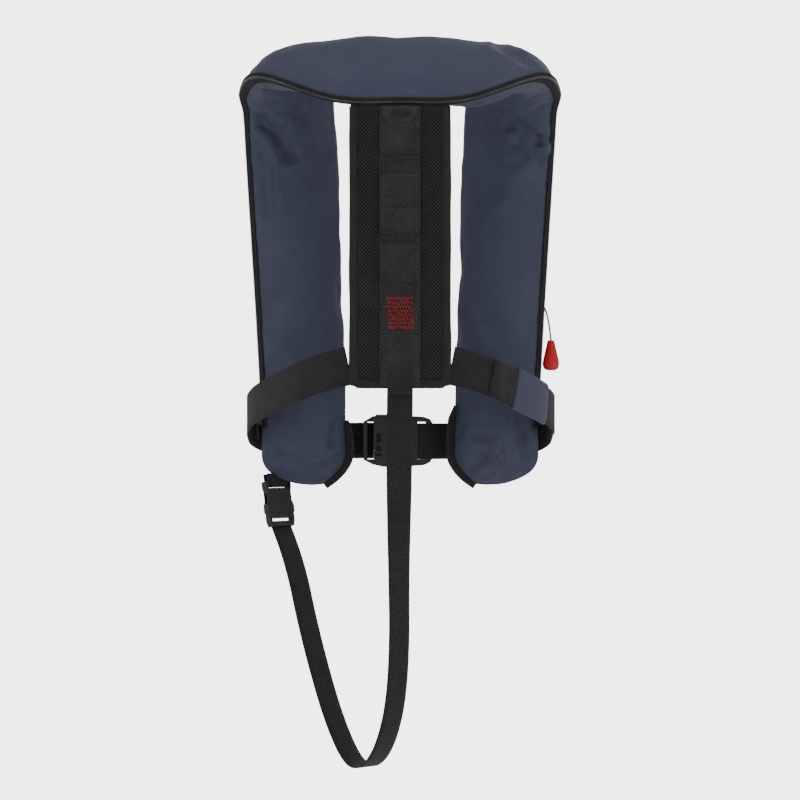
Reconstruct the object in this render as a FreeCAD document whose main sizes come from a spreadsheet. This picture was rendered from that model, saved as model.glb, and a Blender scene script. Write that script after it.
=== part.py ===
"""An automatic inflatable life jacket, as worn: a horseshoe cover over the shoulders, a mesh back
panel, a waist belt with a push-button buckle, a crotch strap, and the gas inflator inside.

Frame, in millimetres: the origin is where the collar rests on the back of the wearer's neck, +Z is
up, +Y is the way the wearer faces and +X is the wearer's right when seen from behind.
"""

import FreeCAD, Part
import math
import os
import Sketcher
from FreeCAD import Placement, Rotation, Vector

doc = FreeCAD.newDocument("LifeJacket")

# ---------------------------------------------------------------- driving dimensions
SIZES = {
    "back_plane": -100, "chest_plane": 99, "shoulder_half": 190.5, "neck_half": 77,
    "collar_edge_height": -61, "collar_neck_height": 24, "collar_depth": 44,
    "lobe_depth": 54, "lobe_top": -90, "lobe_taper": 0.0625, "cover_wall": 1.6, "seam_half": 3,
    "fold_half": 7,
    "panel_width": 115, "panel_top": -67, "panel_bottom": -390, "edging_width": 9.5,
    "spine_width": 47, "spine_thick": 2, "tack_width": 30, "tack_height": 38,
    "tack_middle": -305, "patch_radius": 21,
    "belt_width": 45, "belt_thick": 1.8, "belt_back_height": -365.5, "belt_front_height": -456,
    "belt_front_plane": 136, "tunnel_height": 46.4,
    "buckle_height": 62, "buckle_depth": 21, "housing_left": -46, "housing_right": 13,
    "tongue_right": 41, "buckle_back": 120, "slot_height": 47, "blade_height": 26,
    "blade_thick": 3, "blade_plane": 132, "hinge_pin_radius": 1.5, "pin_clearance": 0.05,
    "strap_width": 30, "strap_thick": 1.8, "clip_thick": 12, "cord_radius": 1.25,
    "toggle_side": 187.4, "gas_side": 126.5, "gas_plane": 107, "inflator_height": 36,
    "inflator_width": 36, "inflator_depth": 28, "lever_length": 22, "tube_radius": 6,
    "tube_length": 120, "whistle_length": 46,
}
sheet = doc.addObject("Spreadsheet::Sheet", "Sizes")
for row, (alias, value) in enumerate(SIZES.items(), start=1):
    sheet.set(f"A{row}", alias)
    sheet.set(f"B{row}", str(value))
    sheet.setAlias(f"B{row}", alias)
doc.recompute()


def size(alias):
    return float(sheet.get(alias))


# ---------------------------------------------------------------- ways of making a piece
NODES = []


def keep(piece, label):
    """Marks a finished object as a sub-part that is written to its own file."""
    piece.Label = label
    NODES.append(piece)
    return piece


def bind(piece, **sizes):
    """Sets properties, through the sheet when the value is an expression."""
    for name, value in sizes.items():
        if isinstance(value, str):
            piece.setExpression(name, value)
        else:
            setattr(piece, name, value)


def place(piece, at, turn=None):
    """Puts a piece at a point whose coordinates are numbers or expressions."""
    piece.Placement = Placement(Vector(0, 0, 0), turn or Rotation())
    for axis, value in zip("xyz", at):
        piece.setExpression(f"Placement.Base.{axis}", str(value))


def block(name, length, width, height, at, turn=None):
    """A box that starts at a corner and runs along +X, +Y and +Z."""
    piece = doc.addObject("Part::Box", name)
    bind(piece, Length=length, Width=width, Height=height)
    place(piece, at, turn)
    return piece


def rod(name, radius, height, at, turn=None):
    piece = doc.addObject("Part::Cylinder", name)
    bind(piece, Radius=radius, Height=height)
    place(piece, at, turn)
    return piece


def cut(name, base, *tools):
    for number, tool in enumerate(tools):
        piece = doc.addObject("Part::Cut", f"{name}_cut{number}")
        piece.Base = base
        piece.Tool = tool
        base = piece
    return base


def fuse(name, *shapes):
    piece = doc.addObject("Part::MultiFuse", name + "_fuse")
    piece.Shapes = list(shapes)
    return piece


def rounded(name, base, radius, keep_edge):
    """Fillets the edges of a piece that keep_edge picks."""
    doc.recompute()
    piece = doc.addObject("Part::Fillet", name + "_fillet")
    piece.Base = base
    edges = enumerate(base.Shape.Edges, start=1)
    piece.Edges = [(number, radius, radius) for number, edge in edges if keep_edge(edge)]
    return piece


def along(direction):
    """Picks the straight edges that run along an axis."""
    def keep_edge(edge):
        ends = edge.Vertexes
        if len(ends) < 2 or edge.Curve.TypeId != "Part::GeomLine":
            return False
        run = (ends[1].Point - ends[0].Point).normalize()
        return abs(run.dot(direction)) > 0.999
    return keep_edge


def new_sketch(body, plane, points):
    """A closed outline of straight lines whose corners are held to numbers or expressions."""
    sketch = body.newObject("Sketcher::SketchObject", body.Name + "_outline")
    sketch.AttachmentSupport = [
        (next(f for f in body.Origin.OriginFeatures if f.Role == plane), "")]
    sketch.MapMode = "FlatFace"
    values = []
    for corner in points:
        values.append([number_of(entry) for entry in corner])
    count = len(values)
    for i, (first, second) in enumerate(zip(values, values[1:] + values[:1])):
        sketch.addGeometry(Part.LineSegment(Vector(*first, 0), Vector(*second, 0)), False)
    for i in range(count):
        sketch.addConstraint(Sketcher.Constraint("Coincident", i, 2, (i + 1) % count, 1))
    for i, corner in enumerate(points):
        for kind, k in (("DistanceX", 0), ("DistanceY", 1)):
            at = sketch.addConstraint(Sketcher.Constraint(kind, -1, 1, i, 1, values[i][k]))
            if isinstance(corner[k], str):
                sketch.renameConstraint(at, f"{kind}{i}")
                sketch.setExpression(f"Constraints.{kind}{i}", corner[k])
    return sketch


def number_of(entry):
    """The value of a number, or of an expression in the sheet's names."""
    if not isinstance(entry, str):
        return float(entry)
    text = entry.replace("Sizes.", "")
    for alias in sorted(SIZES, key=len, reverse=True):
        text = text.replace(alias, f"({size(alias)})")
    total = FreeCAD.Units.Quantity(text)
    return float(total.Value)


def plate(name, points, thick, at, plane="XZ_Plane"):
    """A body padded from an outline, half to each side of its plane."""
    body = doc.addObject("PartDesign::Body", name)
    pad = body.newObject("PartDesign::Pad", name + "_pad")
    sketch = new_sketch(body, plane, points)
    body.removeObject(pad)
    body.addObject(pad)
    pad.Profile = sketch
    bind(pad, Length=thick, Midplane=True)
    body.Tip = pad
    place(body, at)
    doc.recompute()
    return body


def soften(body, radius, pick):
    """Adds a PartDesign fillet to the edges that pick chooses."""
    tip = body.Tip
    fillet = body.newObject("PartDesign::Fillet", body.Name + "_round")
    local = tip.Shape
    names = [f"Edge{i}" for i, edge in enumerate(local.Edges, start=1) if pick(edge)]
    fillet.Base = (tip, names)
    bind(fillet, Radius=radius)
    doc.recompute()
    return body


def turned(name, points, at, turn=None):
    """A body of revolution about Z, from an outline in the XZ plane given as (radius, height)."""
    body = doc.addObject("PartDesign::Body", name)
    sketch = new_sketch(body, "XZ_Plane", points)
    spin = body.newObject("PartDesign::Revolution", name + "_turn")
    spin.Profile = sketch
    spin.ReferenceAxis = (sketch, ["V_Axis"])
    spin.Angle = 360
    place(body, at, turn)
    doc.recompute()
    return body


def free_shape(name, shape, label=None):
    """A piece whose surface is lofted through sections."""
    piece = doc.addObject("Part::Feature", name)
    piece.Shape = shape
    return keep(piece, label) if label else piece


def mirrored(shape):
    return shape.mirror(Vector(0, 0, 0), Vector(1, 0, 0))


# ---------------------------------------------------------------- sections of the horseshoe
def lens_wire(outer, inner, tangent, half_depth, half_seam, half_fold, inset=0.0, shrink=0.0):
    """A pillow-shaped section: two bowed sides from the outer seam to a rounded inner fold."""
    across = (outer - inner).normalize()
    up = across.cross(tangent).normalize()
    middle = (outer + inner) / 2
    outer = outer - across * inset
    inner = inner + across * half_fold * 0.8
    half_depth -= shrink
    half_seam = max(half_seam - shrink / 2, 0.8)
    half_fold = half_fold - shrink
    corners = [outer + up * half_seam, inner + up * half_fold,
               inner - up * half_fold, outer - up * half_seam]
    return Part.Wire([
        Part.Arc(corners[0], middle + up * half_depth, corners[1]).toShape(),
        Part.Arc(corners[1], inner - across * half_fold * 0.8, corners[2]).toShape(),
        Part.Arc(corners[2], middle - up * half_depth, corners[3]).toShape(),
        Part.makeLine(corners[3], corners[0]),
    ])


def strip_wire(outer, inner, tangent, near, far, half_high):
    """A small rectangle outside a seam, from near to far beyond it."""
    across = (outer - inner).normalize()
    up = across.cross(tangent).normalize()
    corners = [outer + across * near + up * half_high, outer + across * far + up * half_high,
               outer + across * far - up * half_high, outer + across * near - up * half_high]
    return Part.makePolygon(corners + corners[:1])


back, chest = size("back_plane"), size("chest_plane")
shoulder, neck = size("shoulder_half"), size("neck_half")
edge_z, neck_z, lobe_top = size("collar_edge_height"), size("collar_neck_height"), size("lobe_top")
wall, seam, fold = size("cover_wall"), size("seam_half"), size("fold_half")
collar_half, lobe_half = size("collar_depth") / 2, size("lobe_depth") / 2

# Stations of the right half: outer seam, inner fold, half depth. The left half mirrors them.
CENTRE = (Vector(0, back, edge_z), Vector(0, 0, neck_z), collar_half)
QUARTER = (Vector(75, back + 5, edge_z + 3), Vector(40, 2, neck_z), collar_half)
CORNER = (Vector(164, -38, -24), Vector(neck - 5, 22, neck_z - 13), collar_half)
SHOULDER = (Vector(shoulder + 2, 35, -30), Vector(neck, 35, neck_z - 17), collar_half)
FRONT = (Vector(shoulder + 1, 80, -52), Vector(neck + 2, 78, -26), (collar_half + lobe_half) / 2)
LOBE_TOP = (Vector(shoulder, chest, lobe_top), Vector(neck, chest, lobe_top), lobe_half)
BELOW = (Vector(shoulder - 2, chest, lobe_top - 40), Vector(neck, chest, lobe_top - 40), lobe_half)
STEPS = 4


def flipped(station):
    outer, inner, half = station
    return (Vector(-outer.x, outer.y, outer.z), Vector(-inner.x, inner.y, inner.z), half)


def between(points, share):
    """A point of the curve through four points, on its middle span."""
    a, b, c, d = points
    t = share
    return (b * 2 + (c - a) * t + (a * 2 - b * 5 + c * 4 - d) * t ** 2
            + (b * 3 - a - c * 3 + d) * t ** 3) * 0.5


def smooth_run(stations):
    """Stations filled in between the second and the one before the last, with their headings."""
    filled = []
    for i in range(1, len(stations) - 2):
        four = stations[i - 1:i + 3]
        for step in range(STEPS + (i == len(stations) - 3)):
            share = step / STEPS
            outer, inner = (between([s[k] for s in four], share) for k in (0, 1))
            half = four[1][2] + (four[2][2] - four[1][2]) * share
            filled.append((outer, inner, half))
    middles = [(outer + inner) / 2 for outer, inner, half in filled]
    run = []
    for i, station in enumerate(filled):
        ahead, behind = middles[min(i + 1, len(filled) - 1)], middles[max(i - 1, 0)]
        run.append((station, (ahead - behind).normalize()))
    return run


DOWN = Vector(0, 0, -1)
right_side = smooth_run([flipped(QUARTER), CENTRE, QUARTER, CORNER, SHOULDER, FRONT, LOBE_TOP,
                         BELOW])
right_side[0] = (CENTRE, Vector(1, 0, 0))
right_side[-1] = (LOBE_TOP, DOWN)
corner_at = 2 * STEPS
shoulder_run = right_side[corner_at:]
collar_run = [(flipped(station), Vector(run.x, -run.y, -run.z))
              for station, run in right_side[corner_at:0:-1]] + right_side[:corner_at + 1]


def lobe_edge(z):
    """How far out the lobe's outer seam lies at a height."""
    return shoulder - size("lobe_taper") * (lobe_top - z)


# Height, inner seam, outer seam and half depth down the lobe to its rounded foot.
LOBE_ROWS = [
    (lobe_top, neck, lobe_edge(lobe_top), lobe_half), (-200, 75, lobe_edge(-200), lobe_half),
    (-300, 73, lobe_edge(-300), lobe_half), (-390, 69, lobe_edge(-390), lobe_half),
    (-440, 67, lobe_edge(-440), 25), (-476, 66, 168, 20), (-490, 74, 160, 15), (-502, 86, 144, 9),
    (-510, 96, 122, 4),
]
lobe_run = [
    ((Vector(out, chest, z), Vector(inn, chest, z), half), DOWN)
    for z, inn, out, half in LOBE_ROWS
]


def loft(run, ruled=False, inset=0.0, shrink=0.0, short=0):
    """A solid through a run of stations, all of them or all but the last few."""
    wires = [
        lens_wire(outer, inner, tangent, half, min(seam, half * 0.5), min(fold, half * 0.5),
                  inset, shrink)
        for (outer, inner, half), tangent in run[:len(run) - short]
    ]
    return Part.makeLoft(wires, True, ruled)


def shell(run, ruled=False, short=0):
    """A cover section: the loft with its inside taken out."""
    return loft(run, ruled).cut(loft(run, ruled, 3.0, wall, short))


# ---------------------------------------------------------------- cover
collar = shell(collar_run)
shoulder_shell = shell(shoulder_run)
lobe_shell = shell(lobe_run, True, 1)
cord_slot = Part.makeBox(13, 8, 24, Vector(lobe_edge(-284) - 9, chest + 3.1, -297))
free_shape("CoverCollar", collar, "cover_collar")
free_shape("CoverRightShoulder", shoulder_shell, "cover_right_shoulder")
free_shape("CoverLeftShoulder", mirrored(shoulder_shell), "cover_left_shoulder")
free_shape("CoverRightLobe", lobe_shell.cut(cord_slot), "cover_right_lobe")
free_shape("CoverLeftLobe", mirrored(lobe_shell), "cover_left_lobe")


# ---------------------------------------------------------------- folded bladder
def bladder_wire(outer, inner, tangent, half, share):
    """The folded bladder lies on the wearer's side of the cover, clear of the gas gear."""
    across = (outer - inner).normalize()
    up = across.cross(tangent).normalize()
    middle = (outer + inner) / 2
    wide = (outer - inner).Length * share / 2
    low, high = middle - up * (half - 9.5), middle - up * (half - 18.5)
    corners = [low + across * wide * 0.72, high + across * wide,
               high - across * wide, low - across * wide * 0.72]
    return Part.makePolygon(corners + corners[:1])


def bladder_loft(run, short=0):
    wires = [bladder_wire(o, i, t, half, 0.7) for (o, i, half), t in run[:len(run) - short]]
    return Part.makeLoft(wires, True, True)


bladder_shoulder = bladder_loft(shoulder_run)
bladder_lobe = bladder_loft(lobe_run, 4)
bladder = bladder_loft(collar_run).multiFuse(
    [bladder_shoulder, bladder_lobe, mirrored(bladder_shoulder), mirrored(bladder_lobe)])
free_shape("Bladder", bladder.removeSplitter(), "bladder")


# ---------------------------------------------------------------- zip round the outer seam
def zip_loft(run):
    return Part.makeLoft([strip_wire(o, i, t, 0.6, 2.7, 3.0) for (o, i, half), t in run],
                         True, True)


lobe_zip = zip_loft([lobe_run[0], lobe_run[4]])
shoulder_zip = zip_loft(shoulder_run)
zip_chain = zip_loft(collar_run).multiFuse(
    [lobe_zip, shoulder_zip, mirrored(lobe_zip), mirrored(shoulder_zip)])
free_shape("ZipChain", zip_chain, "zip_chain")

# The slider straddles the chain near the foot of the left lobe.
SLIDER_FOOT = -436
slider_side = -(lobe_edge(SLIDER_FOOT) + 0.5)
slider_tilt = Rotation(Vector(0, 1, 0), -math.degrees(math.atan(size("lobe_taper"))))
slider_body = block("SliderBody", 7, 10.6, 12, (-7, -5.3, 0))
slider_way = block("SliderWay", 4, 7.2, 14, (-2.9, -3.6, -1))
slider = cut("Slider", slider_body, slider_way)
bridge = block("SliderBridge", 2.2, 3, 8, (-9.2, -1.5, 2))
slider_window = block("SliderWindow", 1.6, 5, 4.4, (-8.6, -2.5, 3.6))
slider_part = cut("ZipSlider", fuse("Slider", slider, bridge), slider_window)
slider_part.Placement = Placement(Vector(slider_side, chest, SLIDER_FOOT), slider_tilt)
keep(slider_part, "zip_slider")

pull_tab = plate("ZipPull", [(-2.6, 0), (2.6, 0), (3.2, -22), (-3.2, -22)], 1.2, (0, 0, 0),
                 "YZ_Plane")
pull_hole = block("PullHole", 6, 3.4, 5.4, (-3, -1.7, -3.4))
pull_bar = rod("PullBar", 0.75, 5.2, (0, 2.6, 0), Rotation(Vector(1, 0, 0), 90))
pull_ring = fuse("PullRing", cut("PullTab", pull_tab, pull_hole), pull_bar)
pull_at = slider_part.Placement.multVec(Vector(-7.8, 0, 4.6))
pull_ring.Placement = Placement(pull_at, slider_tilt)
print(f"zip pull turns about {pull_at}")
keep(pull_ring, "zip_pull")

# ---------------------------------------------------------------- corner bindings
CORNER_BINDING = [
    (67.5, -412), (60, -430), (56.5, -452), (56.5, -481), (76, -507), (92, -514), (95.7, -510.7),
    (85.5, -502.5), (73.5, -490.5), (65.5, -476.3), (66.5, -440),
]
for side, sign in (("right", 1), ("left", -1)):
    outline = [(sign * x, z) for x, z in CORNER_BINDING][::sign]
    keep(plate(f"CornerBinding{side}", outline, 8, (0, "Sizes.chest_plane", 0)),
         f"corner_binding_{side}")

# ---------------------------------------------------------------- back panel
def panel_block(name, half_width, top, bottom, near, far):
    """A flat block of the back panel, between two distances from the back plane."""
    return block(name, f"2 * ({half_width})", f"{far - near}", f"({top}) - ({bottom})",
                 (f"-({half_width})", f"Sizes.back_plane + {near}", bottom))


belt_bottom = "Sizes.belt_back_height - Sizes.tunnel_height / 2"
belt_top = "Sizes.belt_back_height + Sizes.tunnel_height / 2"
pad_body = panel_block("PadBody", "Sizes.panel_width / 2 - 0.5", "Sizes.panel_top",
                       "Sizes.panel_bottom + 1", 0.7, 6.0)
pad_tunnel = panel_block("PadTunnel", "Sizes.panel_width / 2 + 2", belt_top, belt_bottom, 0.5, 2.9)
keep(cut("BackPad", pad_body, pad_tunnel), "back_pad")

keep(panel_block("BackMesh", "Sizes.panel_width / 2 - 0.5", "Sizes.panel_top",
                 "Sizes.panel_bottom + 1", -0.6, 0.6), "back_mesh")


def panel_edging(name, x, label):
    """A folded tape round one long side of the panel, open where the belt passes."""
    left = f"{x} - Sizes.edging_width / 2"
    tape = block(name + "Tape", "Sizes.edging_width", 8.0, "Sizes.panel_top - Sizes.panel_bottom",
                 (left, "Sizes.back_plane - 1.3", "Sizes.panel_bottom"))
    filling = panel_block(name + "Filling", "Sizes.panel_width / 2 - 0.5",
                          "Sizes.panel_top + 1", "Sizes.panel_bottom + 1", -0.65, 6.05)
    way = panel_block(name + "Way", "Sizes.panel_width / 2 + 6", belt_top, belt_bottom, 0.4, 2.9)
    keep(cut(name, tape, filling, way), label)


panel_edging("EdgingRight", "Sizes.panel_width / 2 - 3.5", "panel_edging_right")
panel_edging("EdgingLeft", "-Sizes.panel_width / 2 + 3.5", "panel_edging_left")
hem_tape = panel_block("HemTape", "Sizes.panel_width / 2 - 8.4", "Sizes.panel_bottom + 7",
                       "Sizes.panel_bottom - 0.9", -1.3, 6.7)
hem_filling = panel_block("HemFilling", "Sizes.panel_width / 2", "Sizes.panel_bottom + 9",
                          "Sizes.panel_bottom + 0.95", -0.65, 6.05)
hem_way = panel_block("HemWay", "Sizes.spine_width / 2 + 0.5", "Sizes.panel_bottom + 9",
                      "Sizes.panel_bottom + 0.95", -2, -0.6)
keep(cut("HemEdging", hem_tape, hem_filling, hem_way), "panel_edging_bottom")

spine = plate("SpineWebbing", [
    ("-Sizes.spine_width / 2", "Sizes.panel_bottom + 1"), ("Sizes.spine_width / 2",
     "Sizes.panel_bottom + 1"), ("Sizes.spine_width / 2", "Sizes.panel_top"),
    ("-Sizes.spine_width / 2", "Sizes.panel_top")], "Sizes.spine_thick",
    (0, "Sizes.back_plane - 1.7", 0))
keep(spine, "spine_webbing")

tack_bottom = "Sizes.tack_middle - Sizes.tack_height / 2"
keep(block("BarTack", "Sizes.tack_width", 0.7, "Sizes.tack_height",
           ("-Sizes.tack_width / 2", "Sizes.back_plane - 3.45", tack_bottom)), "bar_tack")

patch_disc = rod("PatchDisc", "Sizes.patch_radius", 1.2,
                 (0, "Sizes.back_plane - 2.75", "Sizes.panel_top - 1"),
                 Rotation(Vector(1, 0, 0), 90))
patch_upper = block("PatchUpper", 60, 6, 40, (-30, "Sizes.back_plane - 6",
                                              "Sizes.panel_top - 1"))
keep(cut("HangerPatch", patch_disc, patch_upper), "hanger_patch")

loop_outer = block("LoopOuter", 22, 3.2, 7, (-11, "Sizes.back_plane - 7.2",
                                             "Sizes.panel_top - 12"))
loop_inner = block("LoopInner", 16, 1.8, 9, (-8, "Sizes.back_plane - 5.8",
                                             "Sizes.panel_top - 13"))
keep(cut("HangerLoop", loop_outer, loop_inner), "hanger_loop")

# ---------------------------------------------------------------- waist belt
# Middle of the webbing on the right half, from the panel's edge round the side to the front.
front, low = size("belt_front_plane"), size("belt_front_height")
BELT_ROUTE = [
    Vector(40, back + 1.7, -362), Vector(59, back + 1.7, size("belt_back_height")),
    Vector(85, -90, -372), Vector(117, -66, -383), Vector(150, -25, -398), Vector(175, 20, -411),
    Vector(186.5, 65, -421), Vector(187.5, 100, -431), Vector(180, 122, -441),
    Vector(158, 134, -451), Vector(118, front, low), Vector(80, front, low),
]
BELT_STEPS = 3


def belt_frames():
    """Points along the middle of the belt, with the directions out of it and up across it."""
    points = []
    for i in range(1, len(BELT_ROUTE) - 2):
        last = i == len(BELT_ROUTE) - 3
        points += [between(BELT_ROUTE[i - 1:i + 3], step / BELT_STEPS)
                   for step in range(BELT_STEPS + last)]
    frames = []
    for i, point in enumerate(points):
        run = points[min(i + 1, len(points) - 1)] - points[max(i - 1, 0)]
        if i in (0, len(points) - 1):
            run = Vector(1 if i == 0 else -1, 0, 0)
        out = run.cross(Vector(0, 0, 1)).normalize()
        frames.append((point, out, out.cross(run).normalize()))
    return frames


def ribbon(frames, half_wide, near, far):
    """A strip of webbing between two distances outside the belt's middle surface."""
    wires = []
    for point, out, up in frames:
        corners = [point + up * half_wide + out * near, point + up * half_wide + out * far,
                   point - up * half_wide + out * far, point - up * half_wide + out * near]
        wires.append(Part.makePolygon(corners + corners[:1]))
    return Part.makeLoft(wires, True, True)


frames = belt_frames()
half_belt, half_thick = size("belt_width") / 2, size("belt_thick") / 2
belt_side = ribbon(frames, half_belt, -half_thick, half_thick)
right_front = Part.makeBox(56, 2 * half_thick, 2 * half_belt,
                           Vector(62, front - half_thick, low - half_belt))
left_front = Part.makeBox(79, 2 * half_thick, 2 * half_belt,
                          Vector(-118, front - half_thick, low - half_belt))
free_shape("BeltRight", belt_side.fuse(right_front).removeSplitter(), "belt_right")
free_shape("BeltLeft", mirrored(belt_side).fuse(left_front).removeSplitter(), "belt_left")
keep(block("BeltBack", "118", "Sizes.belt_thick", "Sizes.belt_width",
           (-59, "Sizes.back_plane + 0.8", "Sizes.belt_back_height - Sizes.belt_width / 2")),
     "belt_back")

# The doubled tail lies outside the belt and is held by a sleeve of cover cloth.
tail_far = 3 * half_thick + 0.2
free_shape("BeltTail", ribbon(frames[5:17], half_belt - 0.5, half_thick + 0.2, tail_far),
           "belt_tail")
sleeve_frames = frames[8:13]
sleeve_outer = ribbon(sleeve_frames, half_belt + 2.6, -half_thick - 1.5, tail_far + 1.5)
sleeve_inner = ribbon(sleeve_frames, half_belt + 1.2, -half_thick - 0.3, tail_far + 0.3)
free_shape("BeltSleeve", sleeve_outer.cut(sleeve_inner), "belt_sleeve")

# The stub of webbing on the tongue slides behind the belt's front end.
keep(block("BeltStub", 84, "Sizes.belt_thick", "Sizes.belt_width",
           (30, "Sizes.blade_plane - 2.2", "Sizes.belt_front_height - Sizes.belt_width / 2")),
     "belt_stub")

keeper_ring = block("KeeperRing", 14, 7.1, "Sizes.belt_width + 9",
                    (94, "Sizes.belt_front_plane - 3.6",
                     "Sizes.belt_front_height - Sizes.belt_width / 2 - 4.5"))
keeper_window = block("KeeperWindow", 16, 2.6, "Sizes.belt_width + 1.4",
                      (93, "Sizes.belt_front_plane - 1.3",
                       "Sizes.belt_front_height - Sizes.belt_width / 2 - 0.7"))
keeper_round = rounded("Keeper", keeper_ring, 1.2, along(Vector(1, 0, 0)))
keep(cut("BeltKeeper", keeper_round, keeper_window), "belt_keeper")

# ---------------------------------------------------------------- front buckle
buckle_z = "Sizes.belt_front_height"
housing_mid = size("buckle_back") + size("buckle_depth") / 2
housing = plate("HousingBlock", [
    ("Sizes.housing_left", "-Sizes.buckle_height / 2 + 7"), (-34, -30), (-20, -33), (13, -32),
    ("Sizes.housing_right", "Sizes.buckle_height / 2"), (-20, 32), (-34, 31),
    ("Sizes.housing_left", "Sizes.buckle_height / 2 - 7")], "Sizes.buckle_depth",
    (0, housing_mid, buckle_z))
soften(housing, 3.0, lambda edge: edge.CenterOfMass.x < 12.5)
web_slot = block("WebSlot", 8, 30, "Sizes.slot_height", (-41, 115, f"{buckle_z} - 23.5"))
frame_relief = block("FrameRelief", 12.6, 10, 72, (-47, 130.5, f"{buckle_z} - 36"))
frame_back = block("FrameBack", 12.6, 6, 72, (-47, 118, f"{buckle_z} - 36"))
blade_way = block("BladeWay", 37.6, "Sizes.blade_thick + 0.8", "Sizes.blade_height + 1.2",
                  (-24, "Sizes.blade_plane - Sizes.blade_thick / 2 - 0.4",
                   f"{buckle_z} - Sizes.blade_height / 2 - 0.6"))
latch_room = block("LatchRoom", 28, 9.4, 41, (-32.6, 121.6, f"{buckle_z} - 20.5"))
button_well = block("ButtonWell", 19, 9, 60, (-31.5, 136.0, f"{buckle_z} - 24.5"))
post_low = block("PostLow", 4, 12, 4, (-16.5, 127, f"{buckle_z} - 19"))
post_high = block("PostHigh", 4, 12, 4, (-16.5, 127, f"{buckle_z} + 15"))
pin_bore = rod("PinBore", "Sizes.hinge_pin_radius", 50, (-29, 127.1, f"{buckle_z} - 25"))
tooth_way = block("ToothWay", 9, 4, 16, (-15, 130, f"{buckle_z} - 8"))
# Three windows in the rear wall show the latch; each has its foot and its height.
back_windows = [block(f"BackWindow{i}", 7, 5, high, (-30, 118, f"{buckle_z} + {foot}"))
                for i, (foot, high) in enumerate(((-2, 11), (-13, 6), (-19.4, 3.4)))]
housing_cut = cut("BuckleHousing", housing, web_slot, frame_relief, frame_back, blade_way,
                  latch_room, button_well, post_low, post_high, pin_bore, tooth_way,
                  *back_windows)
keep(housing_cut, "buckle_housing")

button_plate = plate("ButtonPlate", [(-31, -24), (-13, -24), (-13, 33), (-31, 33)], 4.8,
                     (0, 141.7, buckle_z))
soften(button_plate, 2.0, lambda edge: edge.CenterOfMass.y < -2.3 or abs(
    edge.CenterOfMass.y) < 0.1)
post_a = block("PostA", 3, 11.4, 3, (-16, 128.3, f"{buckle_z} - 18.5"))
post_b = block("PostB", 3, 11.4, 3, (-16, 128.3, f"{buckle_z} + 15.5"))
keep(fuse("BuckleButton", button_plate, post_a, post_b), "buckle_button")

latch_plate = block("LatchPlate", 20, 1.8, 38, (-28, 126.2, f"{buckle_z} - 19"))
latch_barrel = rod("LatchBarrel", 3, 38, (-29, 127.1, f"{buckle_z} - 19"))
latch_tooth = block("LatchTooth", 4, 5.2, 9, (-12.4, 127.7, f"{buckle_z} - 4.5"))
latch_bore = rod("LatchBore", "Sizes.hinge_pin_radius + Sizes.pin_clearance", 50,
                 (-29, 127.1, f"{buckle_z} - 25"))
keep(cut("Latch", fuse("Latch", latch_plate, latch_barrel, latch_tooth), latch_bore),
     "buckle_latch")
keep(rod("LatchPin", "Sizes.hinge_pin_radius", 46, (-29, 127.1, f"{buckle_z} - 23")),
     "latch_pin")

tongue_frame = plate("TongueFrame", [
    (13.4, -32), (30, -31), (38, -27), ("Sizes.tongue_right", -22), ("Sizes.tongue_right", 22),
    (38, 27), (30, 30), (13.4, 31)], 10, (0, "Sizes.blade_plane - 2.4", buckle_z))
soften(tongue_frame, 3.0, lambda edge: edge.CenterOfMass.x > 14.5)
blade = block("Blade", 36, "Sizes.blade_thick", "Sizes.blade_height",
              (-22, "Sizes.blade_plane - Sizes.blade_thick / 2",
               f"{buckle_z} - Sizes.blade_height / 2"))
blade_gap = block("BladeGap", 21, 8, 10, (-23, 128, f"{buckle_z} - 5"))
fork = cut("Fork", blade, blade_gap)
tongue_slot = block("TongueSlot", 10, 30, "Sizes.slot_height", (22, 115, f"{buckle_z} - 23.5"))
stub_way = block("StubWay", 30, 10, "Sizes.slot_height", (22, 129.4, f"{buckle_z} - 23.5"))
keep(cut("BuckleTongue", fuse("Tongue", tongue_frame, fork), tongue_slot, stub_way),
     "buckle_tongue")

# ---------------------------------------------------------------- crotch strap and its clip
# The strap hangs in the upright plane from the panel's foot to the left lobe's foot.
PLANE_START = Vector(0, back + 2.5, 0)
PLANE_RUN = Vector(-157, 199, 0).normalize()
PLANE_ACROSS = Vector(-PLANE_RUN.y, PLANE_RUN.x, 0) * -1


def in_plane(u, z):
    return PLANE_START + PLANE_RUN * u + Vector(0, 0, z)


# Distance along the plane and height, from the panel's foot round the bottom to the clip.
STRAP_ROUTE = [
    (0, -391.5), (3, -560), (0, -728), (28, -814), (76, -846), (125, -795), (177, -690),
    (209, -600), (237, -562),
]


def rounded_path(points):
    """Straight runs joined by tangent arcs, each as large as its two runs allow."""
    edges, start = [], points[0]
    for before, corner, after in zip(points, points[1:], points[2:]):
        back_run, on_run = before - corner, after - corner
        turn = math.pi - back_run.getAngle(on_run)
        reach = 0.45 * min(back_run.Length, on_run.Length)
        print(f"strap bend: radius {reach / math.tan(turn / 2):.0f} mm, "
              f"turn {math.degrees(turn):.0f} degrees")
        into = corner + back_run.normalize() * reach
        out = corner + on_run.normalize() * reach
        bisector = (back_run + on_run).normalize()
        radius = reach / math.tan(turn / 2)
        centre = corner + bisector * (radius / math.cos(turn / 2))
        edges.append(Part.makeLine(start, into))
        edges.append(Part.Arc(into, centre - bisector * radius, out).toShape())
        start = out
    edges.append(Part.makeLine(start, points[-1]))
    return Part.Wire(edges)


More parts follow.
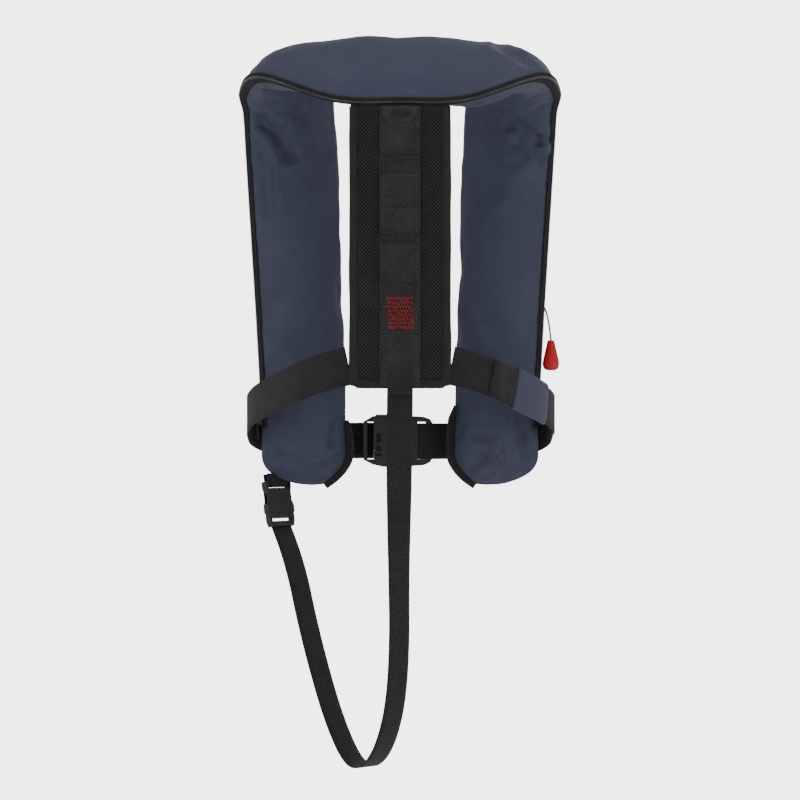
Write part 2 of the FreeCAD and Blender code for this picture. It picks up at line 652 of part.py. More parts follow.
strap_path = rounded_path([in_plane(u, z) for u, z in STRAP_ROUTE])
half_strap, strap_half_thick = size("strap_width") / 2, size("strap_thick") / 2
strap_start = in_plane(*STRAP_ROUTE[0])
strap_corners = [strap_start + PLANE_ACROSS * half_strap * a + PLANE_RUN * strap_half_thick * b
                 for a, b in ((1, 1), (1, -1), (-1, -1), (-1, 1))]
strap_profile = Part.makePolygon(strap_corners + strap_corners[:1])
strap_solid = strap_path.makePipeShell([strap_profile], True, False)
expected = size("strap_width") * size("strap_thick") * strap_path.Length
print(f"strap: length {strap_path.Length:.0f} mm, volume {strap_solid.Volume / expected:.3f}"
      " of its section times its length")
free_shape("CrotchStrap", strap_solid, "crotch_strap")

# The clip's own axis tilts a little towards the panel as it hangs.
CLIP_TILT = math.radians(12)
clip_up = (PLANE_RUN * math.sin(CLIP_TILT) + Vector(0, 0, math.cos(CLIP_TILT))).normalize()
clip_turn = Rotation(PLANE_ACROSS, clip_up.cross(PLANE_ACROSS), clip_up, "ZXY")
clip_place = Placement(in_plane(*STRAP_ROUTE[-1]) + clip_up * 4.4, clip_turn)
print(f"clip: at {clip_place.Base}, axis {clip_up}, across {PLANE_ACROSS}")


def clip_node(piece, label):
    piece.Placement = clip_place
    return keep(piece, label)


# Heights are above the middle of the male part's webbing slot.
male_base = plate("MaleBase", [(-19, 4), (-17, -4), (17, -4), (19, 4), (19, 13), (-19, 13)],
                  11, (0, 0, 0))
soften(male_base, 2.0, lambda edge: edge.CenterOfMass.z < 12)
male_slot = block("MaleSlot", 31, 14, 4.4, (-15.5, -7, 2.6))
prong_a = block("ProngA", 4.6, 5, 24, (-15.4, -2.5, 12.5))
prong_b = block("ProngB", 4.6, 5, 24, (10.8, -2.5, 12.5))
guide = block("Guide", 5, 4, 21, (-2.5, -2, 12.5))
prongs = fuse("Prongs", prong_a, prong_b, guide)
clip_node(cut("ClipMale", fuse("Male", male_base, prongs), male_slot), "clip_male")

female_body = plate("FemaleBody", [
    (-20, 13.3), (20, 13.3), (20, 23), (17.6, 28), (17.6, 40), (19, 45), (19, 53), (-19, 53),
    (-19, 45), (-17.6, 40), (-17.6, 28), (-20, 23)], "Sizes.clip_thick", (0, 0, 0))
soften(female_body, 2.0, lambda edge: edge.CenterOfMass.z > 14)
female_room = block("FemaleRoom", 32.4, 6, 26, (-16.2, -3, 12.8))
side_window = block("SideWindow", 44, 5.2, 12, (-22, -2.6, 25))
female_slot = block("FemaleSlot", 31.5, 16, 4.4, (-15.75, -8, 44))
bar_front = block("BarFront", 31.5, 5, 10, (-15.75, 2.8, 44))
bar_back = block("BarBack", 31.5, 5, 10, (-15.75, -7.8, 44))
clip_node(cut("ClipFemale", female_body, female_room, side_window, female_slot, bar_front,
              bar_back), "clip_female")

# A short tab of webbing loops round the clip's top bar and runs up to the foot of the lobe.
tab = Part.makeBox(2 * half_strap, 9.6, 24, Vector(-half_strap, -4.8, 45.4))
tab = tab.cut(Part.makeBox(2 * half_strap + 2, 6, 26, Vector(-half_strap - 1, -3, 47.2)))
tab.Placement = clip_place
lobe_block = mirrored(loft(lobe_run, True))
free_shape("ClipTab", tab.cut(lobe_block), "clip_tab")

# ---------------------------------------------------------------- manual pull
toggle_top = -331
TOGGLE = [(0, 0), (3.2, 0), (4.6, -1.6), (6.2, -10), (9.6, -24), (10.5, -29), (9.8, -34),
          (7.2, -37), (0, -37.5)]
keep(turned("PullToggle", TOGGLE, ("Sizes.toggle_side", chest, toggle_top)), "pull_toggle")
# From the inflator's lever out through the cover beside the seam and down to the toggle.
CORD_ROUTE = [Vector(150, 102.8, -243.5), Vector(166, 104.9, -268), Vector(176.5, 104.4, -284),
              Vector(184.6, 103.4, -300), Vector(size("toggle_side"), chest, toggle_top + 0.3)]
cord_path = rounded_path(CORD_ROUTE)
cord_circle = Part.Wire([Part.makeCircle(size("cord_radius"), CORD_ROUTE[0],
                                         CORD_ROUTE[1] - CORD_ROUTE[0])])
cord_solid = cord_path.makePipeShell([cord_circle], True, False)
print(f"pull cord: length {cord_path.Length:.0f} mm, volume "
      f"{cord_solid.Volume / (math.pi * size('cord_radius') ** 2 * cord_path.Length):.3f}")
free_shape("PullCord", cord_solid, "pull_cord")

# ---------------------------------------------------------------- gas inflator, right lobe
gas_x, gas_y = "Sizes.gas_side", "Sizes.gas_plane"
inflator_foot = -280
inflator_block = block("InflatorBlock", "Sizes.inflator_width", "Sizes.inflator_depth",
                       "Sizes.inflator_height",
                       (f"{gas_x} - Sizes.inflator_width / 2",
                        f"{gas_y} - Sizes.inflator_depth / 2", inflator_foot))
inflator_round = rounded("Inflator", inflator_block, 5, along(Vector(0, 0, 1)))
neck_bore = rod("NeckBore", 6.6, 16, (gas_x, gas_y, inflator_foot - 1))
bobbin_bore = rod("BobbinBore", 8.6, 16, (gas_x, gas_y, inflator_foot + 23))
stem_bore = rod("StemBore", 3.4, 20, (gas_x, gas_y, inflator_foot + 18.7),
                Rotation(Vector(1, 0, 0), 90))
lever_x = "Sizes.gas_side + Sizes.inflator_width / 2"
ear_block = block("EarBlock", 10, 12, 12, (f"{lever_x} - 1", "Sizes.chest_plane - 6", -268))
ear_gap = block("EarGap", 11, 5, 14, (f"{lever_x}", "Sizes.chest_plane - 2.5", -269))
lever_bore = rod("LeverBore", "Sizes.hinge_pin_radius", 14,
                 (f"{lever_x} + 5", "Sizes.chest_plane + 7", -262), Rotation(Vector(1, 0, 0), 90))
inflator = cut("InflatorBody", fuse("InflatorBody", inflator_round, ear_block), neck_bore,
               bobbin_bore, stem_bore, ear_gap, lever_bore)
keep(inflator, "inflator_body")
keep(rod("LeverPin", "Sizes.hinge_pin_radius", 12,
         (f"{lever_x} + 5", "Sizes.chest_plane + 6", -262), Rotation(Vector(1, 0, 0), 90)),
     "lever_pin")
lever_boss = rod("LeverBoss", 4, 4.2, (f"{lever_x} + 5", "Sizes.chest_plane + 2.1", -262),
                 Rotation(Vector(1, 0, 0), 90))
lever_arm = block("LeverArm", 5, 4.2, "Sizes.lever_length",
                  (f"{lever_x} + 2.5", "Sizes.chest_plane - 2.1", -262))
lever_hole = rod("LeverHole", "Sizes.hinge_pin_radius + Sizes.pin_clearance", 14,
                 (f"{lever_x} + 5", "Sizes.chest_plane + 7", -262), Rotation(Vector(1, 0, 0), 90))
lever_eye = rod("LeverEye", 1.3, 14, (f"{lever_x} + 5", "Sizes.chest_plane + 7", -243.5),
                Rotation(Vector(1, 0, 0), 90))
keep(cut("InflatorLever", fuse("Lever", lever_boss, lever_arm), lever_hole, lever_eye),
     "inflator_lever")

CYLINDER = [(0, -2), (6.4, -2), (6.4, -14), (9, -17), (13, -21), (15, -27), (15, -110),
            (13, -117), (8, -120), (0, -121)]
keep(turned("GasCylinder", [(r, z + 12) for r, z in CYLINDER], (gas_x, gas_y, inflator_foot)),
     "gas_cylinder")
keep(rod("Bobbin", 8.4, 12, (gas_x, gas_y, inflator_foot + 23.4)), "water_bobbin")
cap_outer = rod("CapOuter", 13, 14, (gas_x, gas_y, "Sizes.inflator_height - 279.6"))
cap_room = rod("CapRoom", 10.5, 12, (gas_x, gas_y, "Sizes.inflator_height - 280"))
keep(cut("BobbinCap", cap_outer, cap_room), "bobbin_cap")
stem_turn = Rotation(Vector(1, 0, 0), 90)
keep(rod("ManifoldStem", 3.3, 13.4, (gas_x, f"{gas_y} - 2.3", inflator_foot + 18.7), stem_turn),
     "manifold_stem")

# ---------------------------------------------------------------- oral tube, left lobe
tube_x, tube_y, tube_foot = -138, 105, -330
tube_outer = rod("TubeOuter", "Sizes.tube_radius", "Sizes.tube_length", (tube_x, tube_y, tube_foot))
tube_bore = rod("TubeBore", "Sizes.tube_radius - 1.6", "Sizes.tube_length + 2",
                (tube_x, tube_y, tube_foot - 1))
keep(cut("OralTube", tube_outer, tube_bore), "oral_tube")
valve_top = tube_foot + size("tube_length")
keep(turned("OralValve", [(0, -10), (4.3, -10), (4.3, 0.1), (6.4, 0.1), (6.4, 6), (0, 6)],
            (tube_x, tube_y, valve_top)), "oral_valve")
oral_cap_outer = rod("OralCapOuter", 8.4, 16, (tube_x, tube_y, valve_top - 5))
oral_cap_room = rod("OralCapRoom", 6.7, 12, (tube_x, tube_y, valve_top - 5.4))
keep(cut("OralCap", oral_cap_outer, oral_cap_room), "oral_cap")

whistle_body = block("WhistleBody", 18, 10, "Sizes.whistle_length", (-118, 100, -340))
whistle_round = rounded("Whistle", whistle_body, 3, along(Vector(0, 0, 1)))
whistle_window = block("WhistleWindow", 12, 3, 6, (-115, 108.5, -320))
whistle_eye = rod("WhistleEye", 1.6, 14, (-109, 112, -336.5), Rotation(Vector(1, 0, 0), 90))
keep(cut("Whistle", whistle_round, whistle_window, whistle_eye), "whistle")


# ---------------------------------------------------------------- check and write
doc.recompute()
for thing in doc.Objects:
    if any(word in ("Invalid", "Error") for word in thing.State):
        raise RuntimeError(f"{thing.Name} ({thing.Label}) failed: {thing.State}")
os.makedirs("parts", exist_ok=True)
for old in os.listdir("parts"):
    os.remove(os.path.join("parts", old))
for piece in NODES:
    shape = piece.Shape
    if shape.isNull() or not shape.isValid() or not shape.Solids:
        raise RuntimeError(f"{piece.Label} has no valid solid")
    shape.exportStep(f"parts/{piece.Label}.step")
print(f"{len(NODES)} sub-parts written")
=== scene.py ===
# %% [markdown]
# # Dressing an inflatable life jacket
#
# The jacket is worn like a yoke: a folded cover of coated cloth runs round the neck and down the
# chest, a mesh panel hangs down the back, and two kinds of webbing hold it on. The solids of every
# part are already made. This lesson gives them their cloth, webbing, zip, stitching and plastic.
#
# The frame comes first, because every new piece rides on one of its bodies.

import math
import random

import bmesh
import bpy
from mathutils import Matrix, Vector, noise
from mathutils.bvhtree import BVHTree


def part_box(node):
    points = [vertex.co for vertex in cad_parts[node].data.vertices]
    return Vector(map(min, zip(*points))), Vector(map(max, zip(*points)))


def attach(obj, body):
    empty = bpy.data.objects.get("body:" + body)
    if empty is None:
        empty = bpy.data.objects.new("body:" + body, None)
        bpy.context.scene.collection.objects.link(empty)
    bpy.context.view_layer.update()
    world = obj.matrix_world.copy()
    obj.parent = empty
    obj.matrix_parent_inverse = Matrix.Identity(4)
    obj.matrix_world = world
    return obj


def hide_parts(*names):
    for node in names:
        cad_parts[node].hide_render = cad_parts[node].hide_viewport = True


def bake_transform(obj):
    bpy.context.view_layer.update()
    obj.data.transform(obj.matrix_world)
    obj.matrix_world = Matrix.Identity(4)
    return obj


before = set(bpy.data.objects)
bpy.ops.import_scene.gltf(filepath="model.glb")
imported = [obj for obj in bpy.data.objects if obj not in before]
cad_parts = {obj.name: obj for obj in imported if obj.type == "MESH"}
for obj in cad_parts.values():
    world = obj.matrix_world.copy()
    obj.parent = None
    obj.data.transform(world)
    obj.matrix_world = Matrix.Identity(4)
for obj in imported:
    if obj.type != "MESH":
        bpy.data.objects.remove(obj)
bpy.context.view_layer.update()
MM = 0.001
random.seed(7)

# %% [markdown]
# ## Camera
#
# The wearer's back faces -Y, so the camera stands behind the jacket and looks along +Y. It is
# level with the middle of the jacket and far enough away that the far lobes look nearly as large
# as the near panel.

# %% Camera
VIEW_DISTANCE = 2.6
VIEW_HEIGHT = -0.405
camera = bpy.data.objects.new("camera", bpy.data.cameras.new("camera"))
camera.data.sensor_width = 36
camera.data.lens = 97.8
camera.location = (0, -VIEW_DISTANCE, VIEW_HEIGHT)
camera.rotation_euler = (math.pi / 2, 0, 0)
bpy.context.scene.collection.objects.link(camera)
bpy.context.scene.camera = camera

# %% [markdown]
# ## Small helpers
#
# Straps, tapes, the cover and the zip are all the same kind of shape: a closed ring of points that
# travels along a line and changes as it goes. In the editor this is an extruded edge loop, moved
# after each extrusion. `skin` does the same with `bmesh.ops.extrude_edge_only`, and lays out a UV
# map in millimetres at the same time, so that a weave can follow the strap round its bends.


# %% Helpers for meshes
def finish_mesh(bm, name, smooth=True):
    """Turns a bmesh into an object whose faces point outwards."""
    bmesh.ops.recalc_face_normals(bm, faces=bm.faces)
    mesh = bpy.data.meshes.new(name)
    bm.to_mesh(mesh)
    bm.free()
    piece = bpy.data.objects.new(name, mesh)
    bpy.context.scene.collection.objects.link(piece)
    for polygon in mesh.polygons:
        polygon.use_smooth = smooth
    return piece


def lengths_along(points):
    """The distance from the first point to each point, in millimetres."""
    total, marks = 0.0, [0.0]
    for before, after in zip(points, points[1:]):
        total += (after - before).length / MM
        marks.append(total)
    return marks


def skin(name, rings, smooth=True, wrap=None):
    """A closed skin over rings of points; u runs along the rings and v around them."""
    bm = bmesh.new()
    count = len(rings[0])
    row = [bm.verts.new(point) for point in rings[0]]
    edges = [bm.edges.new((row[k], row[(k + 1) % count])) for k in range(count)]
    caps = [list(edges)]
    place = {vertex: (0, k) for k, vertex in enumerate(row)}
    for i, ring in enumerate(rings[1:], start=1):
        made = bmesh.ops.extrude_edge_only(bm, edges=edges)["geom"]
        fresh = {thing for thing in made if isinstance(thing, bmesh.types.BMVert)}
        following = []
        for k, old in enumerate(row):
            new = next(e.other_vert(old) for e in old.link_edges if e.other_vert(old) in fresh)
            new.co = ring[k]
            place[new] = (i, k)
            following.append(new)
        edges = [e for e in made if isinstance(e, bmesh.types.BMEdge)
                 and e.verts[0] in fresh and e.verts[1] in fresh]
        row = following
    caps.append(list(edges))
    along = lengths_along([sum(ring, Vector()) / count for ring in rings])
    widest = max(rings, key=lambda ring: (ring[0] - ring[count // 2]).length)
    around = lengths_along(list(widest) + [widest[0]])
    uv = bm.loops.layers.uv.new("UVMap")
    for face in bm.faces:
        wraps = {place[loop.vert][1] for loop in face.loops} == {0, count - 1}
        for loop in face.loops:
            i, k = place[loop.vert]
            loop[uv].uv = (along[i], around[count if wraps and k == 0 else k])
    for cap in caps:
        bmesh.ops.contextual_create(bm, geom=cap)
    return finish_mesh(bm, name, smooth)


def strap_ring(centre, across, out, half_wide, half_thick):
    """A flat strap's section: two faces and two rounded edges."""
    corner = min(half_thick, half_wide) * 0.6
    outline = []
    for side in (1, -1):
        for share in (-1, -0.6, -0.2, 0.2, 0.6, 1):
            outline.append((share * side * (half_wide - corner), side * half_thick))
        outline.append((side * half_wide, 0.0))
    outline = outline[:6] + [(half_wide, 0.0)] + outline[7:13] + [(-half_wide, 0.0)]
    return [centre + across * x + out * y for x, y in outline]


def between(points, share):
    """A point of the smooth curve through four points, on its middle span."""
    a, b, c, d = points
    return 0.5 * (2 * b + (c - a) * share + (2 * a - 5 * b + 4 * c - d) * share ** 2
                  + (3 * b - a - 3 * c + d) * share ** 3)


def smooth_line(points, steps):
    """Points of a smooth curve through a list of points, ends included."""
    ends = [2 * points[0] - points[1]] + list(points) + [2 * points[-1] - points[-2]]
    line = []
    for i in range(len(points) - 1):
        line += [between(ends[i:i + 4], step / steps) for step in range(steps)]
    return line + [points[-1]]


def heading(points, i):
    return (points[min(i + 1, len(points) - 1)] - points[max(i - 1, 0)]).normalized()


def strap(name, line, across, half_wide, half_thick, offset=0.0):
    """A strap along a line; across gives the direction of its width at each point."""
    rings = []
    for i, point in enumerate(line):
        run = heading(line, i)
        wide = across(i, run) if callable(across) else across
        wide = (wide - run * wide.dot(run)).normalized()
        out = run.cross(wide).normalized()
        rings.append(strap_ring(point + out * offset, wide, out, half_wide, half_thick))
    return skin(name, rings)


def dress(piece, material, body, slot, *nodes):
    """Gives a piece its material and body, and hides the solids it stands for; slot is not used."""
    piece.data.materials.clear()
    piece.data.materials.append(material)
    if body:
        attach(piece, body)
    if nodes:
        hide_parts(*nodes)
    print(f"{piece.name}: {len(piece.data.polygons) if piece.type == 'MESH' else 0} faces")
    return piece


# %% [markdown]
# ## Materials
#
# Almost everything here is black or navy, so the finishes differ in surface rather than in colour:
# coated nylon has a soft sheen, webbing has ribs, tape has a fine twill and moulded plastic has a
# spark-eroded grain. Effects that several materials share are node groups.


# %% Helpers for materials
def add_node(tree, kind, inputs=None, **settings):
    """A node with its settings, and its inputs linked or set."""
    made = tree.nodes.new(kind)
    for key, value in settings.items():
        setattr(made, key, value)
    for key, value in (inputs or {}).items():
        if isinstance(value, bpy.types.NodeSocket):
            tree.links.new(value, made.inputs[key])
        else:
            made.inputs[key].default_value = value
    return made


def new_group(name, inputs, outputs):
    """An empty shader node group with named sockets, and its end nodes."""
    tree = bpy.data.node_groups.new(name, "ShaderNodeTree")
    for label, kind, value in inputs:
        socket = tree.interface.new_socket(label, in_out="INPUT", socket_type=kind)
        if value is not None:
            socket.default_value = value
    for label, kind in outputs:
        tree.interface.new_socket(label, in_out="OUTPUT", socket_type=kind)
    return tree, tree.nodes.new("NodeGroupInput"), tree.nodes.new("NodeGroupOutput")


def place_group(tree, group, inputs):
    made = add_node(tree, "ShaderNodeGroup")
    made.node_tree = group
    for key, value in inputs.items():
        if isinstance(value, bpy.types.NodeSocket):
            tree.links.new(value, made.inputs[key])
        else:
            made.inputs[key].default_value = value
    return made


def maths(tree, operation, first, second=0.0):
    made = add_node(tree, "ShaderNodeMath", {0: first, 1: second}, operation=operation)
    return made.outputs[0]


FLOAT, COLOUR, VECTOR = "NodeSocketFloat", "NodeSocketColor", "NodeSocketVector"

# %% [markdown]
# The ribbed weave reads a map in millimetres. Each column of the webbing is a row of small bumps,
# and every other column is moved along by half a bump, which is what a plain weave of thick yarn
# looks like. A second output darkens the colour in the hollows between the bumps: painted shade.

# %% Weave group
weave, weave_in, weave_out = new_group(
    "Ribbed weave", [("Vector", VECTOR, None), ("Rib", FLOAT, 2.0), ("Column", FLOAT, 2.5)],
    [("Height", FLOAT), ("Painted shade", FLOAT)])
split = add_node(weave, "ShaderNodeSeparateXYZ", {0: weave_in.outputs["Vector"]})
columns = maths(weave, "DIVIDE", split.outputs[1], weave_in.outputs["Column"])
parity = maths(weave, "MULTIPLY", maths(weave, "FLOORED_MODULO", maths(
    weave, "FLOOR", columns), 2.0), 0.5)
ribs = maths(weave, "ADD", maths(weave, "DIVIDE", split.outputs[0], weave_in.outputs["Rib"]),
             parity)
rib_wave = maths(weave, "ABSOLUTE", maths(weave, "SINE", maths(weave, "MULTIPLY", ribs, math.pi)))
column_wave = maths(weave, "ABSOLUTE", maths(weave, "SINE", maths(
    weave, "MULTIPLY", columns, math.pi)))
bump_height = maths(weave, "MULTIPLY", maths(weave, "POWER", rib_wave, 0.6),
                    maths(weave, "POWER", column_wave, 0.5))
weave.links.new(bump_height, weave_out.inputs["Height"])
# Painted shade: the colour is darkened to a quarter in the hollows between the bumps.
painted_shade = add_node(weave, "ShaderNodeMapRange", {0: bump_height, 3: 0.25, 4: 1.0})
weave.links.new(painted_shade.outputs[0], weave_out.inputs["Painted shade"])

# %% Grain and mottling groups
grain, grain_in, grain_out = new_group(
    "Fine grain", [("Vector", VECTOR, None), ("Size", FLOAT, 900.0)],
    [("Height", FLOAT), ("Roughness", FLOAT)])
fine = add_node(grain, "ShaderNodeTexNoise", {
    "Vector": grain_in.outputs["Vector"], "Scale": grain_in.outputs["Size"], "Detail": 2.0})
grain.links.new(fine.outputs[0], grain_out.inputs["Height"])
broad = add_node(grain, "ShaderNodeTexNoise", {
    "Vector": grain_in.outputs["Vector"], "Scale": 22.0, "Detail": 3.0})
rough = add_node(grain, "ShaderNodeMapRange", {0: broad.outputs[0], 1: 0.3, 2: 0.7, 3: -0.07,
                                               4: 0.07})
grain.links.new(rough.outputs[0], grain_out.inputs["Roughness"])

# The second colour is random wear on most finishes, and painted highlight on the red thread and the zip
# coil.
mottle, mottle_in, mottle_out = new_group(
    "Mottling", [("Vector", VECTOR, None), ("Base", COLOUR, None), ("Worn and highlight", COLOUR, None),
                 ("Size", FLOAT, 14.0), ("Amount", FLOAT, 0.6)], [("Colour", COLOUR)])
cloud = add_node(mottle, "ShaderNodeTexNoise", {
    "Vector": mottle_in.outputs["Vector"], "Scale": mottle_in.outputs["Size"], "Detail": 4.0})
cloud_share = add_node(mottle, "ShaderNodeMapRange", {0: cloud.outputs[0], 1: 0.38, 2: 0.68})
cloud_mix = add_node(mottle, "ShaderNodeMix", data_type="RGBA")
mottle.links.new(maths(mottle, "MULTIPLY", cloud_share.outputs[0], mottle_in.outputs["Amount"]),
                 cloud_mix.inputs["Factor"])
mottle.links.new(mottle_in.outputs["Base"], cloud_mix.inputs[6])
mottle.links.new(mottle_in.outputs["Worn and highlight"], cloud_mix.inputs[7])
mottle.links.new(cloud_mix.outputs[2], mottle_out.inputs["Colour"])


# %% [markdown]
# Each finish is then a short function over the same start: a Principled shader, coordinates that
# don't slide, a mottled colour and a bump.


# %% Finishes
def start_material(name, base, worn_and_highlight, roughness, size=14.0, amount=0.6, **plain):
    """A material with a mottled base colour; plain values go on the shader's own sockets."""
    material = bpy.data.materials.new(name)
    material.use_nodes = True
    tree = material.node_tree
    shader = tree.nodes["Principled BSDF"]
    shader.inputs["Roughness"].default_value = roughness
    for socket, value in plain.items():
        shader.inputs[socket.replace("_", " ")].default_value = value
    place = add_node(tree, "ShaderNodeTexCoord")
    colour = place_group(tree, mottle, {
        "Vector": place.outputs["Object"], "Base": (*base, 1), "Worn and highlight": (*worn_and_highlight, 1), "Size": size,
        "Amount": amount})
    tree.links.new(colour.outputs[0], shader.inputs["Base Color"])
    return material, tree, shader, place, colour


def add_bump(tree, shader, height, strength, distance, under=None):
    bump = add_node(tree, "ShaderNodeBump", {
        "Height": height, "Strength": strength, "Distance": distance})
    if under:
        tree.links.new(under.outputs[0], bump.inputs["Normal"])
    tree.links.new(bump.outputs[0], shader.inputs["Normal"])
    return bump


def cloth_material(name, base, worn_and_highlight, roughness, **plain):
    """Coated cloth: a very fine weave under the coating, and soft unevenness in its shine."""
    material, tree, shader, place, colour = start_material(
        name, base, worn_and_highlight, roughness, 9.0, 0.8, **plain)
    threads = place_group(tree, grain, {"Vector": place.outputs["Object"], "Size": 1400.0})
    soft = add_node(tree, "ShaderNodeTexNoise", {
        "Vector": place.outputs["Object"], "Scale": 34.0, "Detail": 3.0, "Distortion": 0.8})
    under = add_bump(tree, shader, soft.outputs[0], 0.25, 0.0035)
    add_bump(tree, shader, threads.outputs["Height"], 0.25, 0.0004, under)
    tree.links.new(maths(tree, "ADD", threads.outputs["Roughness"], roughness),
                   shader.inputs["Roughness"])
    return material


def woven_material(name, base, worn_and_highlight, rib, column, roughness=0.78, depth=0.0005, **plain):
    """Webbing or tape whose ribs follow the strap's own map."""
    material, tree, shader, place, colour = start_material(
        name, base, worn_and_highlight, roughness, 40.0, 0.7, **plain)
    yarn = place_group(tree, weave, {"Vector": place.outputs["UV"], "Rib": rib,
                                     "Column": column})
    # Painted shade: the mottled colour is multiplied by the weave's darkening in its hollows.
    painted_shade_colour = add_node(tree, "ShaderNodeMix", data_type="RGBA", blend_type="MULTIPLY")
    painted_shade_colour.inputs["Factor"].default_value = 1.0
    tree.links.new(colour.outputs[0], painted_shade_colour.inputs[6])
    tree.links.new(yarn.outputs["Painted shade"], painted_shade_colour.inputs[7])
    tree.links.new(painted_shade_colour.outputs[2], shader.inputs["Base Color"])
    fuzz = add_node(tree, "ShaderNodeTexNoise", {
        "Vector": place.outputs["Object"], "Scale": 1500.0, "Detail": 2.0})
    under = add_bump(tree, shader, fuzz.outputs[0], 0.3, 0.0002)
    add_bump(tree, shader, yarn.outputs["Height"], 0.9, depth, under)
    return material


def moulded_material(name, base, worn_and_highlight, roughness, size=1100.0, strength=0.12, patches=30.0,
                     **plain):
    """Moulded plastic, thread, rubber or painted metal with a fine grain."""
    material, tree, shader, place, colour = start_material(
        name, base, worn_and_highlight, roughness, patches, 0.5, **plain)
    surface = place_group(tree, grain, {"Vector": place.outputs["Object"], "Size": size})
    add_bump(tree, shader, surface.outputs["Height"], strength, 0.0003)
    tree.links.new(maths(tree, "ADD", surface.outputs["Roughness"], roughness),
                   shader.inputs["Roughness"])
    return material


NAVY = cloth_material("navy coated nylon", (0.047, 0.055, 0.100), (0.054, 0.064, 0.115), 0.66,
                      Sheen_Weight=0.12, Sheen_Roughness=0.5)
WEBBING = woven_material("black webbing", (0.014, 0.014, 0.0147), (0.024, 0.024, 0.0245),
                         2.0, 2.8, Sheen_Weight=0.1)
SPINE = woven_material("black spine webbing", (0.026, 0.026, 0.0265), (0.052, 0.052, 0.0525),
                       2.9, 2.9, depth=0.0010, Sheen_Weight=0.1)
PATCH = cloth_material("grey-black patch cloth", (0.020, 0.022, 0.021), (0.028, 0.031, 0.029),
                       0.6, Sheen_Weight=0.1)
TAPE = woven_material("black binding tape", (0.009, 0.009, 0.0095), (0.014, 0.014, 0.0145),
                      0.8, 0.8, 0.66, 0.0002, Sheen_Weight=0.1)
MESH = moulded_material("black knitted mesh", (0.024, 0.024, 0.024), (0.038, 0.038, 0.039),
                        0.55, 2200.0, 0.4)
FOAM = moulded_material("black foam backing", (0.0025, 0.0025, 0.0027), (0.004, 0.004, 0.004),
                        0.9, 500.0, 0.6)
ZIP_TAPE = woven_material("black zip tape", (0.008, 0.008, 0.009), (0.013, 0.013, 0.014),
                          1.0, 1.2, 0.7, 0.0003)
# The black coil is coloured grey, lighter in patches, to show the highlights along it: painted highlight.
ZIP_COIL_PAINTED_HIGHLIGHT = moulded_material("black zip coil, painted grey highlight", (0.08, 0.083, 0.09), (0.20, 0.205, 0.22), 0.32)
BLACK_PLASTIC = moulded_material("black moulded plastic", (0.016, 0.016, 0.0165),
                                 (0.024, 0.024, 0.0245), 0.42)
RED_PLASTIC = moulded_material("red moulded plastic", (0.62, 0.010, 0.018),
                               (0.72, 0.020, 0.030), 0.36, 1400.0, 0.2)
# Its pale pink patches stand for the highlights on the thread: painted highlight.
RED_THREAD = moulded_material("red thread", (0.36, 0.008, 0.014), (0.88, 0.10, 0.12), 0.6,
                              2600.0, 0.5, patches=420.0)
DULL_RED_THREAD = moulded_material("dull red thread", (0.16, 0.03, 0.045),
                                   (0.24, 0.045, 0.06), 0.7, 2600.0, 0.5)
BLACK_THREAD = moulded_material("black thread", (0.014, 0.014, 0.015), (0.03, 0.03, 0.032), 0.6,
                                2600.0, 0.5)
GREY_THREAD = moulded_material("grey thread", (0.06, 0.065, 0.085), (0.12, 0.125, 0.15), 0.6,
                               2600.0, 0.5)
PALE_CORD = woven_material("pale braided cord", (0.60, 0.62, 0.65), (0.72, 0.74, 0.76), 1.3, 1.3,
                           0.6, 0.0003)
STEEL = moulded_material("brushed steel", (0.5, 0.5, 0.5), (0.6, 0.6, 0.6), 0.3, Metallic=1.0)
DARK_METAL = moulded_material("dark plated zinc", (0.045, 0.045, 0.048), (0.09, 0.09, 0.095),
                              0.34, Metallic=0.9)
GREY_PAINT = moulded_material("grey painted steel", (0.24, 0.25, 0.26), (0.30, 0.31, 0.32), 0.4)
YELLOW_FILM = moulded_material("yellow coated film", (0.72, 0.50, 0.02), (0.80, 0.58, 0.05),
                               0.45)
ORANGE_PLASTIC = moulded_material("orange plastic", (0.75, 0.20, 0.02), (0.82, 0.26, 0.04), 0.35)
PALE_PLASTIC = moulded_material("pale plastic", (0.62, 0.62, 0.60), (0.7, 0.7, 0.68), 0.45)
RUBBER = moulded_material("black rubber", (0.014, 0.014, 0.014), (0.022, 0.022, 0.022), 0.7)

# %% [markdown]
# ## Finishes of the solids that stay
#
# The buckle, the clip and everything inside the cover keep their solids. They only need a finish.

# %% Give the staying solids their finishes
STAYING = {
    BLACK_PLASTIC: ["buckle_housing", "buckle_tongue", "buckle_latch", "belt_keeper",
                    "clip_male", "clip_female", "inflator_body", "inflator_lever"],
    RED_PLASTIC: ["buckle_button", "oral_cap"],
    STEEL: ["latch_pin", "lever_pin", "manifold_stem"],
    DARK_METAL: ["zip_slider", "zip_pull"],
    GREY_PAINT: ["gas_cylinder"],
    YELLOW_FILM: ["bladder"],
    ORANGE_PLASTIC: ["whistle"],
    PALE_PLASTIC: ["water_bobbin", "bobbin_cap", "oral_valve"],
    RUBBER: ["oral_tube"],
    WEBBING: ["belt_back"],
}
for material, names in STAYING.items():
    for name in names:
        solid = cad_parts[name]
        solid.data.materials.clear()
        solid.data.materials.append(material)
print("finished solids:", sum(len(names) for names in STAYING.values()))

# %% [markdown]
# ## Crotch strap
#
# The strap is a limp band that hangs from the foot of the panel, turns under, and comes back up to
# the clip. Its line is a smooth spline whose control points are the corners of the route. The band
# lies flat against the back at the top and has turned a third of a right angle by the bottom, so
# the direction of its width turns along the line.

# %% Crotch strap
STRAP_WIDTH, STRAP_THICK = 30 * MM, 1.8 * MM
plane_start = Vector((0, -97.5, 0)) * MM
plane_run = Vector((-157, 199, 0)).normalized()
plane_across = Vector((plane_run.y, -plane_run.x, 0))
